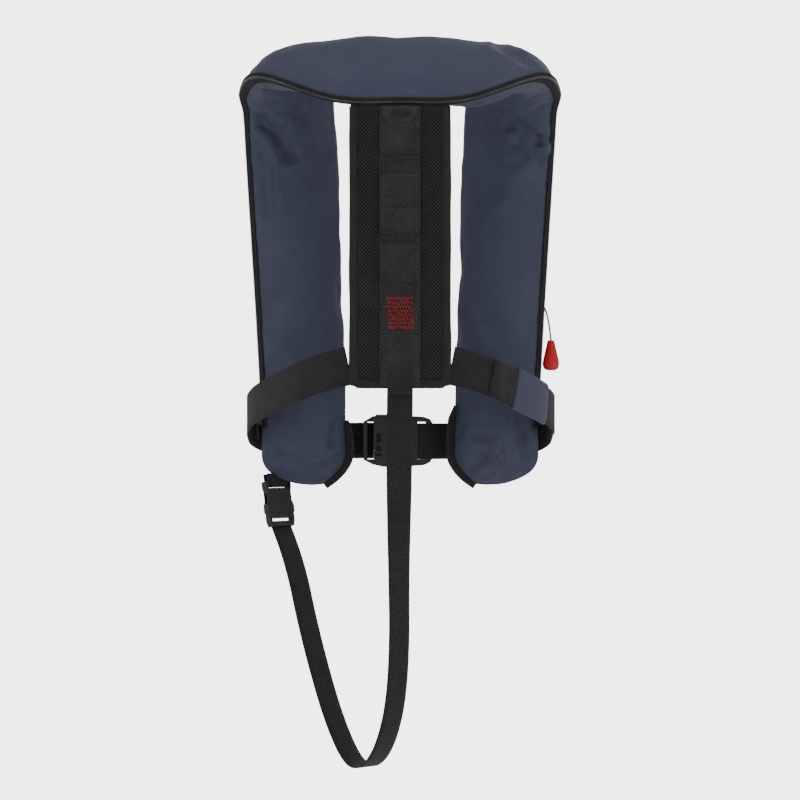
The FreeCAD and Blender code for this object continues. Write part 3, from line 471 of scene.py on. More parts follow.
# Distance along the upright plane that the strap hangs in, and height.
STRAP_ROUTE = [
    (0, -391.5), (3, -560), (0, -728), (28, -814), (76, -846), (125, -795), (177, -690),
    (209, -600), (237, -562),
]


def in_plane(along, height):
    return plane_start + plane_run * along * MM + Vector((0, 0, height * MM))


def spline_points(name, points, spacing):
    """Evenly spaced points of the smooth spline that has these control points."""
    curve = bpy.data.curves.new(name, "CURVE")
    curve.dimensions = "3D"
    curve.resolution_u = 24
    spline = curve.splines.new("NURBS")
    spline.points.add(len(points) - 1)
    for control, point in zip(spline.points, points):
        control.co = (*point, 1)
    spline.order_u = 3
    spline.use_endpoint_u = True
    guide = bpy.data.objects.new(name, curve)
    bpy.context.scene.collection.objects.link(guide)
    bpy.context.view_layer.update()
    fine = bpy.data.meshes.new_from_object(guide)
    dense = [vertex.co.copy() for vertex in fine.vertices]
    bpy.data.objects.remove(guide)
    total = lengths_along(dense)
    count = max(8, round(total[-1] * MM / spacing))
    line, j = [], 0
    for step in range(count + 1):
        want = total[-1] * step / count
        while j < len(total) - 2 and total[j + 1] < want:
            j += 1
        share = (want - total[j]) / max(total[j + 1] - total[j], 1e-9)
        line.append(dense[j].lerp(dense[j + 1], min(share, 1)))
    return line


strap_line = spline_points("strap guide", [in_plane(*point) for point in STRAP_ROUTE], 5 * MM)
strap_length = lengths_along(strap_line)[-1] * MM
TURN_BY = 0.33


def strap_across(i, run):
    share = min(i / (len(strap_line) * TURN_BY), 1)
    share = share * share * (3 - 2 * share)
    return Vector((1, 0, 0)).lerp(plane_across, share)


crotch_strap = strap("crotch_strap_webbing", strap_line, strap_across, STRAP_WIDTH / 2,
                     STRAP_THICK / 2)
dress(crotch_strap, WEBBING, None, "black_webbing", "crotch_strap")
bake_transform(crotch_strap)
print(f"crotch strap: {strap_length:.3f} m")

# %% [markdown]
# ## Pull cord and toggle
#
# A thin braided cord comes out beside the seam of the right lobe and ends in a red drop-shaped
# toggle. The toggle is a turned shape, so a spin makes it: a profile, turned once round its axis.

# %% Pull cord
CORD_RADIUS = 1.25 * MM
toggle_low, toggle_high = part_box("pull_toggle")
toggle_axis = Vector(((toggle_low.x + toggle_high.x) / 2, (toggle_low.y + toggle_high.y) / 2, 0))
CORD_ROUTE = [Vector(point) * MM for point in (
    (150, 102.8, -243.5), (166, 104.9, -268), (176.5, 104.4, -284), (184.6, 103.4, -300))]
CORD_ROUTE.append(Vector((toggle_axis.x, toggle_axis.y, toggle_high.z + 0.3 * MM)))
cord_line = spline_points("cord guide", CORD_ROUTE, 1.5 * MM)
cord_rings = []
for i, point in enumerate(cord_line):
    run = heading(cord_line, i)
    side = run.cross(Vector((0, 1, 0))).normalized()
    cord_rings.append([point + (side * math.cos(a) + run.cross(side) * math.sin(a)) * CORD_RADIUS
                       for a in (math.tau * k / 12 for k in range(12))])
pull_cord = skin("pull_cord_braid", cord_rings)
dress(pull_cord, PALE_CORD, None, "pale_cord", "pull_cord")
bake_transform(pull_cord)

# %% Toggle
toggle_profile = [(0.4, 0.2), (2.6, 0.3), (4.2, -0.4), (4.9, -1.8), (5.0, -3.4), (5.6, -6.5),
                  (7.2, -13), (8.8, -20), (10.1, -25.5), (10.5, -29), (10.1, -32.4), (8.8, -35.2),
                  (6.2, -37), (2.6, -37.4), (0.0, -37.4)]
bm = bmesh.new()
corners = [bm.verts.new((r * MM, 0, z * MM)) for r, z in toggle_profile]
profile_edges = [bm.edges.new(pair) for pair in zip(corners, corners[1:])]
bmesh.ops.spin(bm, geom=corners + profile_edges, cent=(0, 0, 0), axis=(0, 0, 1),
               angle=math.tau, steps=40, use_merge=True)
bmesh.ops.remove_doubles(bm, verts=bm.verts, dist=1e-6)
open_edges = [edge for edge in bm.edges if edge.is_boundary]
bmesh.ops.holes_fill(bm, edges=open_edges)
bmesh.ops.translate(bm, verts=bm.verts, vec=toggle_axis + Vector((0, 0, toggle_high.z)))
toggle = finish_mesh(bm, "toggle_drop")
rounding = toggle.modifiers.new("rounding", "SUBSURF")
rounding.levels = rounding.render_levels = 1
dress(toggle, RED_PLASTIC, "toggle", "red_plastic", "pull_toggle")
cord_length = lengths_along(cord_line)[-1] * MM
print(f"pull cord: {cord_length:.3f} m")

# %% [markdown]
# ## Cover
#
# The cover is one long horseshoe of coated nylon, folded over the air cell. A flat drawing doesn't
# give its shape, so it is lofted: each station has the place of the outer seam, the place of the
# inner fold and half the depth between the two faces. The left half mirrors the right.

# %% Stations of the horseshoe
SEAM_HALF, FOLD_HALF = 3.0, 7.0
COVER_STATIONS = [
    # outer seam, inner fold, half depth
    ((0, -100, -61), (0, 0, 24), 22), ((75, -95, -58), (40, 2, 24), 22),
    ((164, -38, -24), (72, 22, 11), 22), ((192.5, 35, -30), (77, 35, 7), 22),
    ((191.5, 80, -52), (79, 78, -26), 24.5), ((190.5, 99, -90), (77, 99, -90), 27),
    ((183.6, 99, -200), (75, 99, -200), 27), ((177.4, 99, -300), (73, 99, -300), 27),
    ((172.5, 99, -390), (69, 99, -390), 27), ((171, 99, -436), (67, 99, -436), 26),
    ((171.5, 99, -462), (65.5, 99, -462), 23.5), ((171.5, 99, -479), (66, 99, -479), 19),
    ((164, 99, -493), (74, 99, -493), 13), ((148, 99, -503), (84, 99, -503), 8),
    ((124, 99, -510.5), (93, 99, -510.5), 4),
]
RING_SPACING = 6.3


def mirrored(station):
    (a, b, c), (d, e, f), half = station
    return (-a, b, c), (-d, e, f), half


def fill_in(stations, steps):
    """More stations on a smooth run through the given ones."""
    outers = smooth_line([Vector(s[0]) for s in stations], steps)
    inners = smooth_line([Vector(s[1]) for s in stations], steps)
    halves = smooth_line([Vector((s[2], 0, 0)) for s in stations], steps)
    return [(o, i, h.x) for o, i, h in zip(outers, inners, halves)]


def evenly(run, spacing, key):
    """Stations of a run at an even spacing of one of their points."""
    marks = [0.0]
    for before, after in zip(run, run[1:]):
        marks.append(marks[-1] + (key(after) - key(before)).length)
    count = round(marks[-1] / spacing)
    picked, j = [], 0
    for step in range(count + 1):
        want = marks[-1] * step / count
        while j < len(marks) - 2 and marks[j + 1] < want:
            j += 1
        t = min((want - marks[j]) / max(marks[j + 1] - marks[j], 1e-9), 1)
        (o, i, h), (p, q, g) = run[j], run[j + 1]
        picked.append((o.lerp(p, t), i.lerp(q, t), h + (g - h) * t))
    return picked


horseshoe = [mirrored(s) for s in COVER_STATIONS[:0:-1]] + COVER_STATIONS
fine_run = fill_in(horseshoe, 24)
cover_run = evenly(fine_run, RING_SPACING, lambda s: (s[0] + s[1]) / 2)
print("rings round the horseshoe:", len(cover_run))


def directions(run, i):
    """Along the horseshoe, across it towards the seam, and out of its outer face."""
    ahead, behind = run[min(i + 1, len(run) - 1)], run[max(i - 1, 0)]
    along = ((ahead[0] + ahead[1]) - (behind[0] + behind[1])).normalized()
    across = (run[i][0] - run[i][1]).normalized()
    return along, across, across.cross(along).normalized()


# %% [markdown]
# Each station becomes one ring: a bowed face, the soft inner fold, the other face and the narrow
# edge that carries the zip. The faces bow more fully than a circle would, as filled cloth does.

# %% Cover skin
FACE_STEPS, FOLD_STEPS, EDGE_STEPS = 24, 5, 3


def face_height(half, seam, fold, t):
    return seam + (fold - seam) * t + (half - (seam + fold) / 2) * (4 * t * (1 - t)) ** 0.85


def cover_ring(run, i):
    outer, inner, half = run[i]
    along, across, up = directions(run, i)
    seam, fold = min(SEAM_HALF, half * 0.5), min(FOLD_HALF, half * 0.8)
    start = inner + across * fold * 0.8
    shares = [k / (FACE_STEPS - 1) for k in range(FACE_STEPS)]
    ring = [outer.lerp(start, t) + up * face_height(half, seam, fold, t) for t in shares]
    for k in range(1, FOLD_STEPS + 1):
        turn = math.pi * k / (FOLD_STEPS + 1)
        ring.append(start - across * fold * 0.8 * math.sin(turn) + up * fold * math.cos(turn))
    ring += [outer.lerp(start, t) - up * face_height(half, seam, fold, t) for t in shares[::-1]]
    for k in range(1, EDGE_STEPS + 1):
        ring.append(outer + up * seam * (2 * k / (EDGE_STEPS + 1) - 1))
    return [point * MM for point in ring]


cover = skin("cover_cloth", [cover_ring(cover_run, i) for i in range(len(cover_run))])
ring_size = 2 * FACE_STEPS + FOLD_STEPS + EDGE_STEPS
print("points round one ring:", ring_size)

# %% [markdown]
# A lofted skin is too perfect for cloth. The cover is blown up a little with Blender's cloth
# solver: it is cut slightly larger than its shape, held along the zip, and pressed outwards. The
# spare cloth gathers into the soft waves of a packed cover. How far a point may move is capped,
# because the air cell and the gas cylinder lie close behind the cloth.

# %% Lines that hold the cover
BINDING_LINE = [(69, -412), (66, -430), (64, -452), (64, -474), (69.5, -487.5), (80, -499.5),
                (94, -510)]
SIDES = (("right", 1), ("left", -1))


def line_tree(lines):
    """A search tree over lines of points, and how far along its line each piece lies."""
    points, faces, marks = [], [], []
    for line in lines:
        along = lengths_along(line)
        for k in range(len(line) - 1):
            start = len(points)
            points += [line[k], line[k + 1], line[k + 1] + Vector((0, 0, 1e-5))]
            faces.append((start, start + 1, start + 2))
            marks.append(along[k])
    return BVHTree.FromPolygons(points, faces), marks


seam_line = [s[0] * MM for s in cover_run]
# The left binding starts lower down, just above the belt.
binding_lines = {side: smooth_line([Vector((sign * x, 99, z)) * MM
                                    for x, z in BINDING_LINE[sign < 0:]], 6)
                 for side, sign in SIDES}
seam_tree, seam_marks = line_tree([seam_line])
held_tree, held_marks = line_tree([seam_line] + list(binding_lines.values()))
print("seam:", round(seam_marks[-1]), "mm")

# %% Settle the cover
OUTWARD_CAP, INWARD_CAP = 4.5 * MM, 2.5 * MM
SETTLE_FRAMES = 18


def move_points(mesh, places):
    """Moves all points of a mesh at once, so that its normals are worked out only once."""
    mesh.vertices.foreach_set("co", [value for place in places for value in place])
    mesh.update()


def settle(piece, held, frames):
    """Lets the cloth solver relax a closed skin and applies the capped result."""
    mesh = piece.data
    rest = [vertex.co.copy() for vertex in mesh.vertices]
    outward = [vertex.normal.copy() for vertex in mesh.vertices]
    move_points(mesh, [place + normal * noise.noise(place * 30 + Vector((3, 5, 7))) * 1.2 * MM
                       for place, normal in zip(rest, outward)])
    pins = piece.vertex_groups.new(name="held")
    pins.add(held, 1.0, "REPLACE")
    cloth = piece.modifiers.new("cloth", "CLOTH")
    settings = cloth.settings
    settings.quality = 6
    settings.mass = 0.2
    settings.tension_stiffness = settings.compression_stiffness = 25
    settings.shear_stiffness = 12
    settings.bending_stiffness = 0.35
    settings.shrink_min = settings.shrink_max = -0.035
    settings.use_pressure = True
    settings.uniform_pressure_force = 2.5
    settings.effector_weights.gravity = 0
    settings.vertex_group_mass = "held"
    cloth.collision_settings.use_collision = False
    cloth.point_cache.frame_end = frames
    scene = bpy.context.scene
    for frame_number in range(1, frames + 1):
        scene.frame_set(frame_number)
    settled = piece.evaluated_get(bpy.context.evaluated_depsgraph_get()).data
    moved = [vertex.co.copy() for vertex in settled.vertices]
    piece.modifiers.remove(cloth)
    piece.vertex_groups.remove(pins)
    places = []
    for start, end, normal in zip(rest, moved, outward):
        hit, side, face, distance = held_tree.find_nearest(start)
        cap = OUTWARD_CAP * max(0.0, min(1.0, (distance - 9 * MM) / (22 * MM)))
        step = end - start
        out = step.dot(normal)
        step += normal * (max(-min(cap, INWARD_CAP), min(cap, out)) - out)
        sideways = step - normal * step.dot(normal)
        if sideways.length > cap:
            step -= sideways * (1 - cap / sideways.length)
        places.append(start + step)
    scene.frame_set(1)
    move_points(mesh, places)
    largest = max((place - start).length for place, start in zip(places, rest))
    print(f"{piece.name}: cloth moved up to {largest * 1000:.1f} mm")


edge_points = {0, FACE_STEPS * 2 + FOLD_STEPS - 1} | set(
    range(2 * FACE_STEPS + FOLD_STEPS, ring_size))
held = [i * ring_size + k for i in range(len(cover_run)) for k in range(ring_size)
        if k in edge_points or i in (0, len(cover_run) - 1)]
settle(cover, held, SETTLE_FRAMES)


# %% [markdown]
# The folds that make this jacket look used come next: a level of subdivision, then broad waves,
# fine puckers where the cloth is gathered into the zip, and a few named valleys. Each valley is a
# line between two places on the face that the wearer's back shows.

# %% Waves and puckers
def subdivided(piece, levels=1):
    """Applies a smooth subdivision to a piece's mesh."""
    smoothing = piece.modifiers.new("smoothing", "SUBSURF")
    smoothing.levels = smoothing.render_levels = levels
    bpy.context.view_layer.update()
    result = bpy.data.meshes.new_from_object(
        piece.evaluated_get(bpy.context.evaluated_depsgraph_get()))
    piece.modifiers.remove(smoothing)
    old, piece.data = piece.data, result
    bpy.data.meshes.remove(old)
    for polygon in result.polygons:
        polygon.use_smooth = True


subdivided(cover)


def clear_of_tape(co):
    """0 on the zip tape and the bindings, 1 well away from them."""
    return min(held_tree.find_nearest(co)[3] / (16 * MM), 1) ** 2


def wave(co, facing):
    """How far a point of the cover stands out: broad waves and puckers by the seam."""
    broad = noise.noise(co * 15 + Vector((9, 2, 4))) * 1.6 + noise.noise(co * 34) * 0.7
    hit, normal, face, distance = seam_tree.find_nearest(co)
    place = seam_marks[face]
    near = math.exp(-distance / (22 * MM))
    gathers = noise.noise(Vector((place / 7.5, distance / (40 * MM), 1.0 if facing.z > 0
                                  else 5.0)))
    return (broad * (1 - near) + gathers * 2.6 * near) * clear_of_tape(co) * MM


def droop(co, facing):
    """How far the lining sags below the zip between the panel and the right lobe."""
    if facing.z > -0.1 or not 0.05 < co.x < 0.165 or co.y > 0.03:
        return 0.0
    distance = seam_tree.find_nearest(co)[3]
    span = math.sin(math.pi * (co.x - 0.05) / 0.115)
    return 10 * MM * span * math.exp(-((distance - 20 * MM) / (13 * MM)) ** 2)


move_points(cover.data, [v.co + v.normal * wave(v.co, v.normal)
                         - Vector((0, 0, droop(v.co, v.normal))) for v in cover.data.vertices])
print("cover points:", len(cover.data.vertices))

# %% Named folds
FOLDS = [
    # start and end across and up, depth, half width
    ((116, 15), (152, -9), 3.5, 7), ((-166, -61), (-135, -104), 5.0, 9), ((-123, -50), (-98, -98), 4.5, 10),
    ((-172, -90), (-160, -170), 3.0, 9), ((-152, -466), (-166, -484), 4.5, 8),
    ((-68, -475), (-106, -485), 4.5, 6), ((-79, -434), (-84, -458), 4.0, 6),
    ((-120, -478), (-141, -470), 3.0, 8), ((-110, -330), (-150, -368), 1.8, 16),
    ((135, -67), (170, -85), 5.5, 7), ((168, -85), (178, -82), 4.0, 7),
    ((147, -88), (175, -105), 4.5, 8), ((96, -96), (112, -150), 3.0, 12),
    ((92, -449), (112, -452), 4.0, 6), ((149, -431), (152, -473), 4.5, 6),
    ((104, -474), (87, -493), 4.5, 6), ((128, -494), (150, -484), 3.0, 7),
    ((100, -300), (140, -350), 1.8, 16),
]


def press_fold(places, normals, start, end, depth, half_wide):
    """Presses a valley into the face towards the camera side, with low banks beside it."""
    a, b = Vector(start), Vector(end)
    line = b - a
    for k, (place, normal) in enumerate(zip(places, normals)):
        facing = max(-normal.y, normal.z * 0.6, 0)
        if facing < 0.15 or abs(place.x / MM - a.x) > 90:
            continue
        here = Vector((place.x, place.z)) / MM
        share = max(0.0, min(1.0, (here - a).dot(line) / line.length_squared))
        distance = (here - a - line * share).length / half_wide
        if distance < 3.2:
            shape = -math.exp(-distance ** 2) + 0.4 * math.exp(-((distance - 1.7) / 0.7) ** 2)
            places[k] = place + (normal * shape * depth * min(facing * 1.6, 1)
                                 * clear_of_tape(place) * MM)


places = [vertex.co.copy() for vertex in cover.data.vertices]
normals = [vertex.normal.copy() for vertex in cover.data.vertices]
for fold in FOLDS:
    press_fold(places, normals, *fold)

# %% [markdown]
# The cloth must stay outside what it covers. Every point that came too near the air cell or the
# fittings is pushed back out along the nearest face.

# %% Clear the fittings
GAP = 1.2 * MM
INSIDE = ["bladder", "gas_cylinder", "inflator_body", "bobbin_cap", "inflator_lever",
          "oral_tube", "oral_cap", "whistle", "lever_pin", "manifold_stem"]
inner_points, inner_faces = [], []
for name in INSIDE:
    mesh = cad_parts[name].data
    start = len(inner_points)
    inner_points += [vertex.co.copy() for vertex in mesh.vertices]
    inner_faces += [[start + k for k in polygon.vertices] for polygon in mesh.polygons]
inner_tree = BVHTree.FromPolygons(inner_points, inner_faces)
pushed = 0
for k, (place, out) in enumerate(zip(places, normals)):
    above = inner_tree.ray_cast(place, out, 14 * MM)
    below = inner_tree.ray_cast(place, -out, GAP)
    if above[0] and above[1].dot(out) > 0:
        places[k] = above[0] + out * GAP
    elif below[0]:
        places[k] = below[0] + out * GAP
    pushed += bool(above[0] or below[0])
move_points(cover.data, places)
print("points pushed off the fittings:", pushed)
dress(cover, NAVY, "jacket", "navy_cloth", "cover_collar", "cover_left_shoulder",
      "cover_right_shoulder", "cover_left_lobe", "cover_right_lobe")

# %% [markdown]
# ## Zip
#
# A coil zip closes the cover all the way round its outer edge. Its tape wraps the edge as a C,
# two rows of grey stitches hold the tape, and the coil runs along the middle. The coil is hundreds
# of small bevelled blocks, so each one has very few faces.

# %% Zip tape
ZIP_END = -440
zip_run = [s for s in evenly(fine_run, 5.0, lambda s: s[0]) if s[0].z >= ZIP_END]
# How far in from the seam the tape's points lie: the outer leg is short, the inner one longer.
OUTER_LEG, INNER_LEG = (0.9, 0.5, 0.1), (5.4, 2.8, 0.2)
TAPE_THICK = 0.9


def zip_frame(i):
    along, across, up = directions(zip_run, i)
    return zip_run[i][0] * MM, along, across, up


def tape_outline(i):
    """The tape's section, as distances across and up from the seam."""
    outer, inner, half = zip_run[i]
    width = (outer - inner).length

    def over(x, lift):
        return face_height(half, SEAM_HALF, FOLD_HALF, x / width) + lift

    lower = [(-x, over(x, 0.3)) for x in OUTER_LEG] + [(0.6, 2.4), (0.8, 0.0), (0.6, -2.4)]
    lower += [(-x, -over(x, 0.3)) for x in INNER_LEG[::-1]]
    upper = [(-x, -over(x, 0.3 + TAPE_THICK)) for x in INNER_LEG[:-1]]
    upper += [(0.5, -4.6), (1.3, -2.9), (1.6, 0.0), (1.3, 2.9), (0.5, 4.6)]
    upper += [(-x, over(x, 0.3 + TAPE_THICK)) for x in OUTER_LEG[-2::-1]]
    return lower + upper


tape_rings = []
for i in range(len(zip_run)):
    point, along, across, up = zip_frame(i)
    tape_rings.append([point + (across * x + up * y) * MM for x, y in tape_outline(i)])
zip_tape = skin("zip_tape", tape_rings)
dress(zip_tape, ZIP_TAPE, "jacket", "black_zip", "zip_chain")


# %% Zip coil
def box_at(bm, centre, axes, sizes):
    """Adds a small block to a bmesh, turned to three directions."""
    turn = Matrix([axes[0], axes[1], axes[2]]).transposed().to_4x4()
    made = bmesh.ops.create_cube(bm, size=1, matrix=Matrix.Translation(centre) @ turn
                                 @ Matrix.Diagonal((*sizes, 1)))
    return made["verts"]


coil_run = [s for s in evenly(fine_run, 2.6, lambda s: s[0]) if s[0].z >= ZIP_END + 4]
bm = bmesh.new()
for i in range(len(coil_run)):
    along, across, up = directions(coil_run, i)
    lean = (along + up * 0.18).normalized()
    box_at(bm, (coil_run[i][0] + across * 1.7) * MM,
           (lean, across, lean.cross(across)), (1.5 * MM, 1.1 * MM, 3.0 * MM))
bmesh.ops.bevel(bm, geom=bm.edges[:], offset=0.35 * MM, segments=1, profile=0.5, material=-1,
                affect="EDGES")
zip_coil = finish_mesh(bm, "zip_coil", smooth=False)
# The coil's grey colour is painted highlight on a black coil.
dress(zip_coil, ZIP_COIL_PAINTED_HIGHLIGHT, "jacket", "black_zip")


# %% [markdown]
# ## Stitches
#
# A stitch is a short thread that dips into the cloth at both ends. A stretched icosphere of twenty
# faces is enough for that, and one helper serves every row, from the zip to the bar tack.

# %% Stitch helper
def threads(name, pairs, radius, material, slot, body="jacket"):
    """Short threads between pairs of points, as one piece."""
    bm = bmesh.new()
    for a, b in pairs:
        run = b - a
        side = run.orthogonal().normalized()
        turn = Matrix([run.normalized(), side, run.normalized().cross(side)]).transposed()
        bmesh.ops.create_icosphere(bm, subdivisions=1, radius=1, matrix=Matrix.Translation(
            (a + b) / 2) @ turn.to_4x4() @ Matrix.Diagonal((run.length * 0.54, radius, radius, 1)))
    return dress(finish_mesh(bm, name), material, body, slot)


def row(points, pitch, share=0.7):
    """Pairs of points for stitches along a line of points."""
    marks = lengths_along(points)
    pairs, j = [], 0
    for n in range(int(marks[-1] / pitch)):
        ends = []
        for want in (n * pitch, (n + share) * pitch):
            j = next(k for k in range(max(j - 1, 0), len(marks) - 1)
                     if marks[k + 1] >= want or k == len(marks) - 2)
            part = (want - marks[j]) / max(marks[j + 1] - marks[j], 1e-9)
            ends.append(points[j].lerp(points[j + 1], part))
        pairs.append(tuple(ends))
    return pairs


zip_stitches = []
for side, inset in ((1, 0.6), (-1, 3.4)):
    line = []
    for i in range(len(zip_run)):
        point, along, across, up = zip_frame(i)
        outer, inner, half = zip_run[i]
        high = face_height(half, SEAM_HALF, FOLD_HALF, inset / (outer - inner).length) + 1.25
        line.append(point + (across * -inset + up * side * high) * MM)
    zip_stitches += row(line, 3.2)
threads("zip_stitches", zip_stitches, 0.38 * MM, GREY_THREAD, "black_zip")

# %% [markdown]
# ## Corner bindings
#
# The inner corners of both lobes are bound with black tape, folded over the edge.

# %% Corner bindings
def station_at(z):
    """The width and half depth of a lobe at a height, in millimetres."""
    rows = [(s[0][2], s[0][0] - s[1][0], s[2]) for s in COVER_STATIONS[6:]]
    for (za, wa, ha), (zb, wb, hb) in zip(rows, rows[1:]):
        if za >= z >= zb:
            t = (za - z) / (za - zb)
            return wa + (wb - wa) * t, ha + (hb - ha) * t
    return rows[-1][1], rows[-1][2]


# Points across the tape: how far towards the lobe, and how far it stands over the cloth there.
TAPE_POINTS = [(6.2, 1.3), (3.4, 1.4), (0.4, 1.2), (-2.4, 0.2)]
for side, sign in SIDES:
    line = binding_lines[side]
    rings = []
    for i, point in enumerate(line):
        run = heading(line, i)
        inwards = run.cross(Vector((0, 1, 0))).normalized() * sign
        width, half = station_at(point.z / MM)
        seam, fold = min(SEAM_HALF, half * 0.5), min(FOLD_HALF, half * 0.8)
        grow = min(0.3 + i / 8, 1.0)
        upper = []
        for x, lift in TAPE_POINTS:
            x *= grow
            share = min(max(x + 1.0, 0.0) / width, 1.0)
            upper.append((x, face_height(half, seam, fold, 1 - share) + lift))
        outline = upper + [(-4.6 * grow, fold * 0.55), (-5.2 * grow, 0.0),
                           (-4.6 * grow, -fold * 0.55)]
        outline += [(x, -y) for x, y in upper[::-1]]
        rings.append([point + (inwards * -x + Vector((0, y, 0))) * MM for x, y in outline])
    binding = skin(f"corner_tape_{side}", rings)
    dress(binding, TAPE, "jacket", "black_tape", f"corner_binding_{side}")
    edge_line = [a.lerp(b, 0.3) + Vector((0, -0.15, 0)) * MM
                 for a, b in zip([r[-2] for r in rings[2:-2]], [r[-1] for r in rings[2:-2]])]
    threads(f"corner_stitches_{side}", row(edge_line, 3.4), 0.35 * MM, BLACK_THREAD,
            "black_tape")

# %% [markdown]
# A box of dull red stitches with a cross in it shows on the right lobe, where the air cell is
# anchored to the cover. Its points are dropped onto the cloth with a ray, so that it follows the
# folds.

# %% Anchor stitches
bpy.context.view_layer.update()
cloth_tree = BVHTree.FromPolygons([v.co.copy() for v in cover.data.vertices],
                                  [p.vertices[:] for p in cover.data.polygons])


def on_cloth(x, z):
    """The point of the cover's camera side at a place across and up, in millimetres."""
    hit, normal, face, distance = cloth_tree.ray_cast(Vector((x * MM, -1, z * MM)),
                                                      Vector((0, 1, 0)))
    return hit + Vector((0, -0.25 * MM, 0))


BOX = [(109, -463), (130, -465), (128, -488), (107, -486)]


def sewn(a, b):
    steps = 14
    return row([on_cloth(a[0] + (b[0] - a[0]) * k / steps, a[1] + (b[1] - a[1]) * k / steps)
                for k in range(steps + 1)], 2.4)


anchor = []
for k in range(4):
    anchor += sewn(BOX[k], BOX[(k + 1) % 4])
anchor += sewn(BOX[0], BOX[2]) + sewn(BOX[1], BOX[3])
threads("anchor_stitches", anchor, 0.6 * MM, DULL_RED_THREAD, "red_thread")

# %% [markdown]
# ## Back panel
#
# The panel is a spacer mesh over thin foam. The mesh is a grid turned to stand on its corners:
# each cell is inset and its middle taken out, which leaves a net of diamonds. Planes then trim it
# to the panel. Behind the wide webbing it isn't seen, so a plain strip stands there.

# %% Panel sizes
mesh_low, mesh_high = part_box("back_mesh")
pad_low, pad_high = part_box("back_pad")
spine_low, spine_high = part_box("spine_webbing")
PANEL_CELL, STRAND = 3.1 * MM, 0.42 * MM
panel_middle = (mesh_low + mesh_high) / 2
panel_size = mesh_high - mesh_low
print("panel:", [round(v * 1000, 1) for v in panel_size])

# %% Diamond mesh
bm = bmesh.new()
cells = int((panel_size.x + panel_size.z) / PANEL_CELL / 1.4) + 4
bmesh.ops.create_grid(bm, x_segments=cells, y_segments=cells, size=cells * PANEL_CELL / 2,
                      matrix=Matrix.Rotation(math.pi / 4, 4, "Z"))
bmesh.ops.rotate(bm, verts=bm.verts, cent=(0, 0, 0),
                 matrix=Matrix.Rotation(math.pi / 2, 3, "X"))
bmesh.ops.translate(bm, verts=bm.verts, vec=panel_middle)
unseen = [f for f in bm.faces
          if abs(f.calc_center_median().x) > panel_size.x / 2 + PANEL_CELL
          or abs(f.calc_center_median().z - panel_middle.z) > panel_size.z / 2 + PANEL_CELL
          or abs(f.calc_center_median().x) < 20.5 * MM]
bmesh.ops.delete(bm, geom=unseen, context="FACES")
cells_left = bm.faces[:]
bmesh.ops.inset_individual(bm, faces=cells_left, thickness=STRAND, use_even_offset=True)
bmesh.ops.delete(bm, geom=cells_left, context="FACES_ONLY")
for normal, point in (((1, 0, 0), mesh_high), ((-1, 0, 0), mesh_low),
                      ((0, 0, 1), mesh_high), ((0, 0, -1), mesh_low)):
    bmesh.ops.bisect_plane(bm, geom=bm.verts[:] + bm.edges[:] + bm.faces[:], plane_co=point,
                           plane_no=normal, clear_outer=True)
made = bmesh.ops.create_grid(bm, x_segments=8, y_segments=60, size=0.5, matrix=Matrix.Translation(
    panel_middle) @ Matrix.Rotation(math.pi / 2, 4, "X") @ Matrix.Diagonal(
    (43 * MM, panel_size.z, 1, 1)))
bmesh.ops.delete(bm, geom=[v for v in bm.verts if not v.link_faces], context="VERTS")
net_area = sum(face.calc_area() for face in bm.faces)
for vertex in bm.verts:
    # The net swells and dips a little between its seams.
    swell = noise.noise(Vector((vertex.co.x * 18, 0, vertex.co.z * 12))) * 0.8
    vertex.co.y += swell * MM - 0.3 * MM
net = finish_mesh(bm, "panel_net", smooth=False)
thickness = net.modifiers.new("thickness", "SOLIDIFY")
thickness.thickness = 0.45 * MM
thickness.offset = 0
dress(net, MESH, "jacket", "black_mesh", "back_mesh")

# %% [markdown]
# The foam behind the net is a padded piece: a thin block with rounded edges, quilted a little by
# the seam that crosses the panel above the belt.

# %% Foam pad
SEAM_HEIGHT = -329 * MM
bm = bmesh.new()
bmesh.ops.create_cube(bm, size=1, matrix=Matrix.Translation((pad_low + pad_high) / 2)
                      @ Matrix.Diagonal((pad_high.x - pad_low.x, pad_high.y - pad_low.y,
                                         pad_high.z - pad_low.z, 1)))
bmesh.ops.bevel(bm, geom=bm.edges[:], offset=1.8 * MM, segments=3, profile=0.5, material=-1,
                affect="EDGES")
for axis, count in ((0, 22), (2, 60)):
    low, high = pad_low[axis] + 2 * MM, pad_high[axis] - 2 * MM
    for n in range(1, count):
        point, normal = Vector(), Vector()
        point[axis], normal[axis] = low + (high - low) * n / count, 1
        bmesh.ops.bisect_plane(bm, geom=bm.verts[:] + bm.edges[:] + bm.faces[:], plane_co=point,
                               plane_no=normal)
for vertex in bm.verts:
    side = 1 - (abs(vertex.co.x) / (pad_high.x)) ** 4
    ends = min(vertex.co.z - pad_low.z, pad_high.z - vertex.co.z) / (25 * MM)
    swell = side * max(0, min(ends, 1)) * (1 + 0.4 * noise.noise(vertex.co * 40))
    valley = 1 - 0.9 * math.exp(-((vertex.co.z - SEAM_HEIGHT) / (5 * MM)) ** 2)
    if vertex.co.y > (pad_low.y + pad_high.y) / 2:
        vertex.co.y += 2.6 * MM * swell * valley
foam = finish_mesh(bm, "foam_pad")
dress(foam, FOAM, "jacket", "black_foam", "back_pad")

# %% [markdown]
# The panel's sides and hem are bound with one folded tape. It follows a slightly wavy line, as
# sewn tape does, and turns both lower corners. The tape's section is a C that takes in the edge.

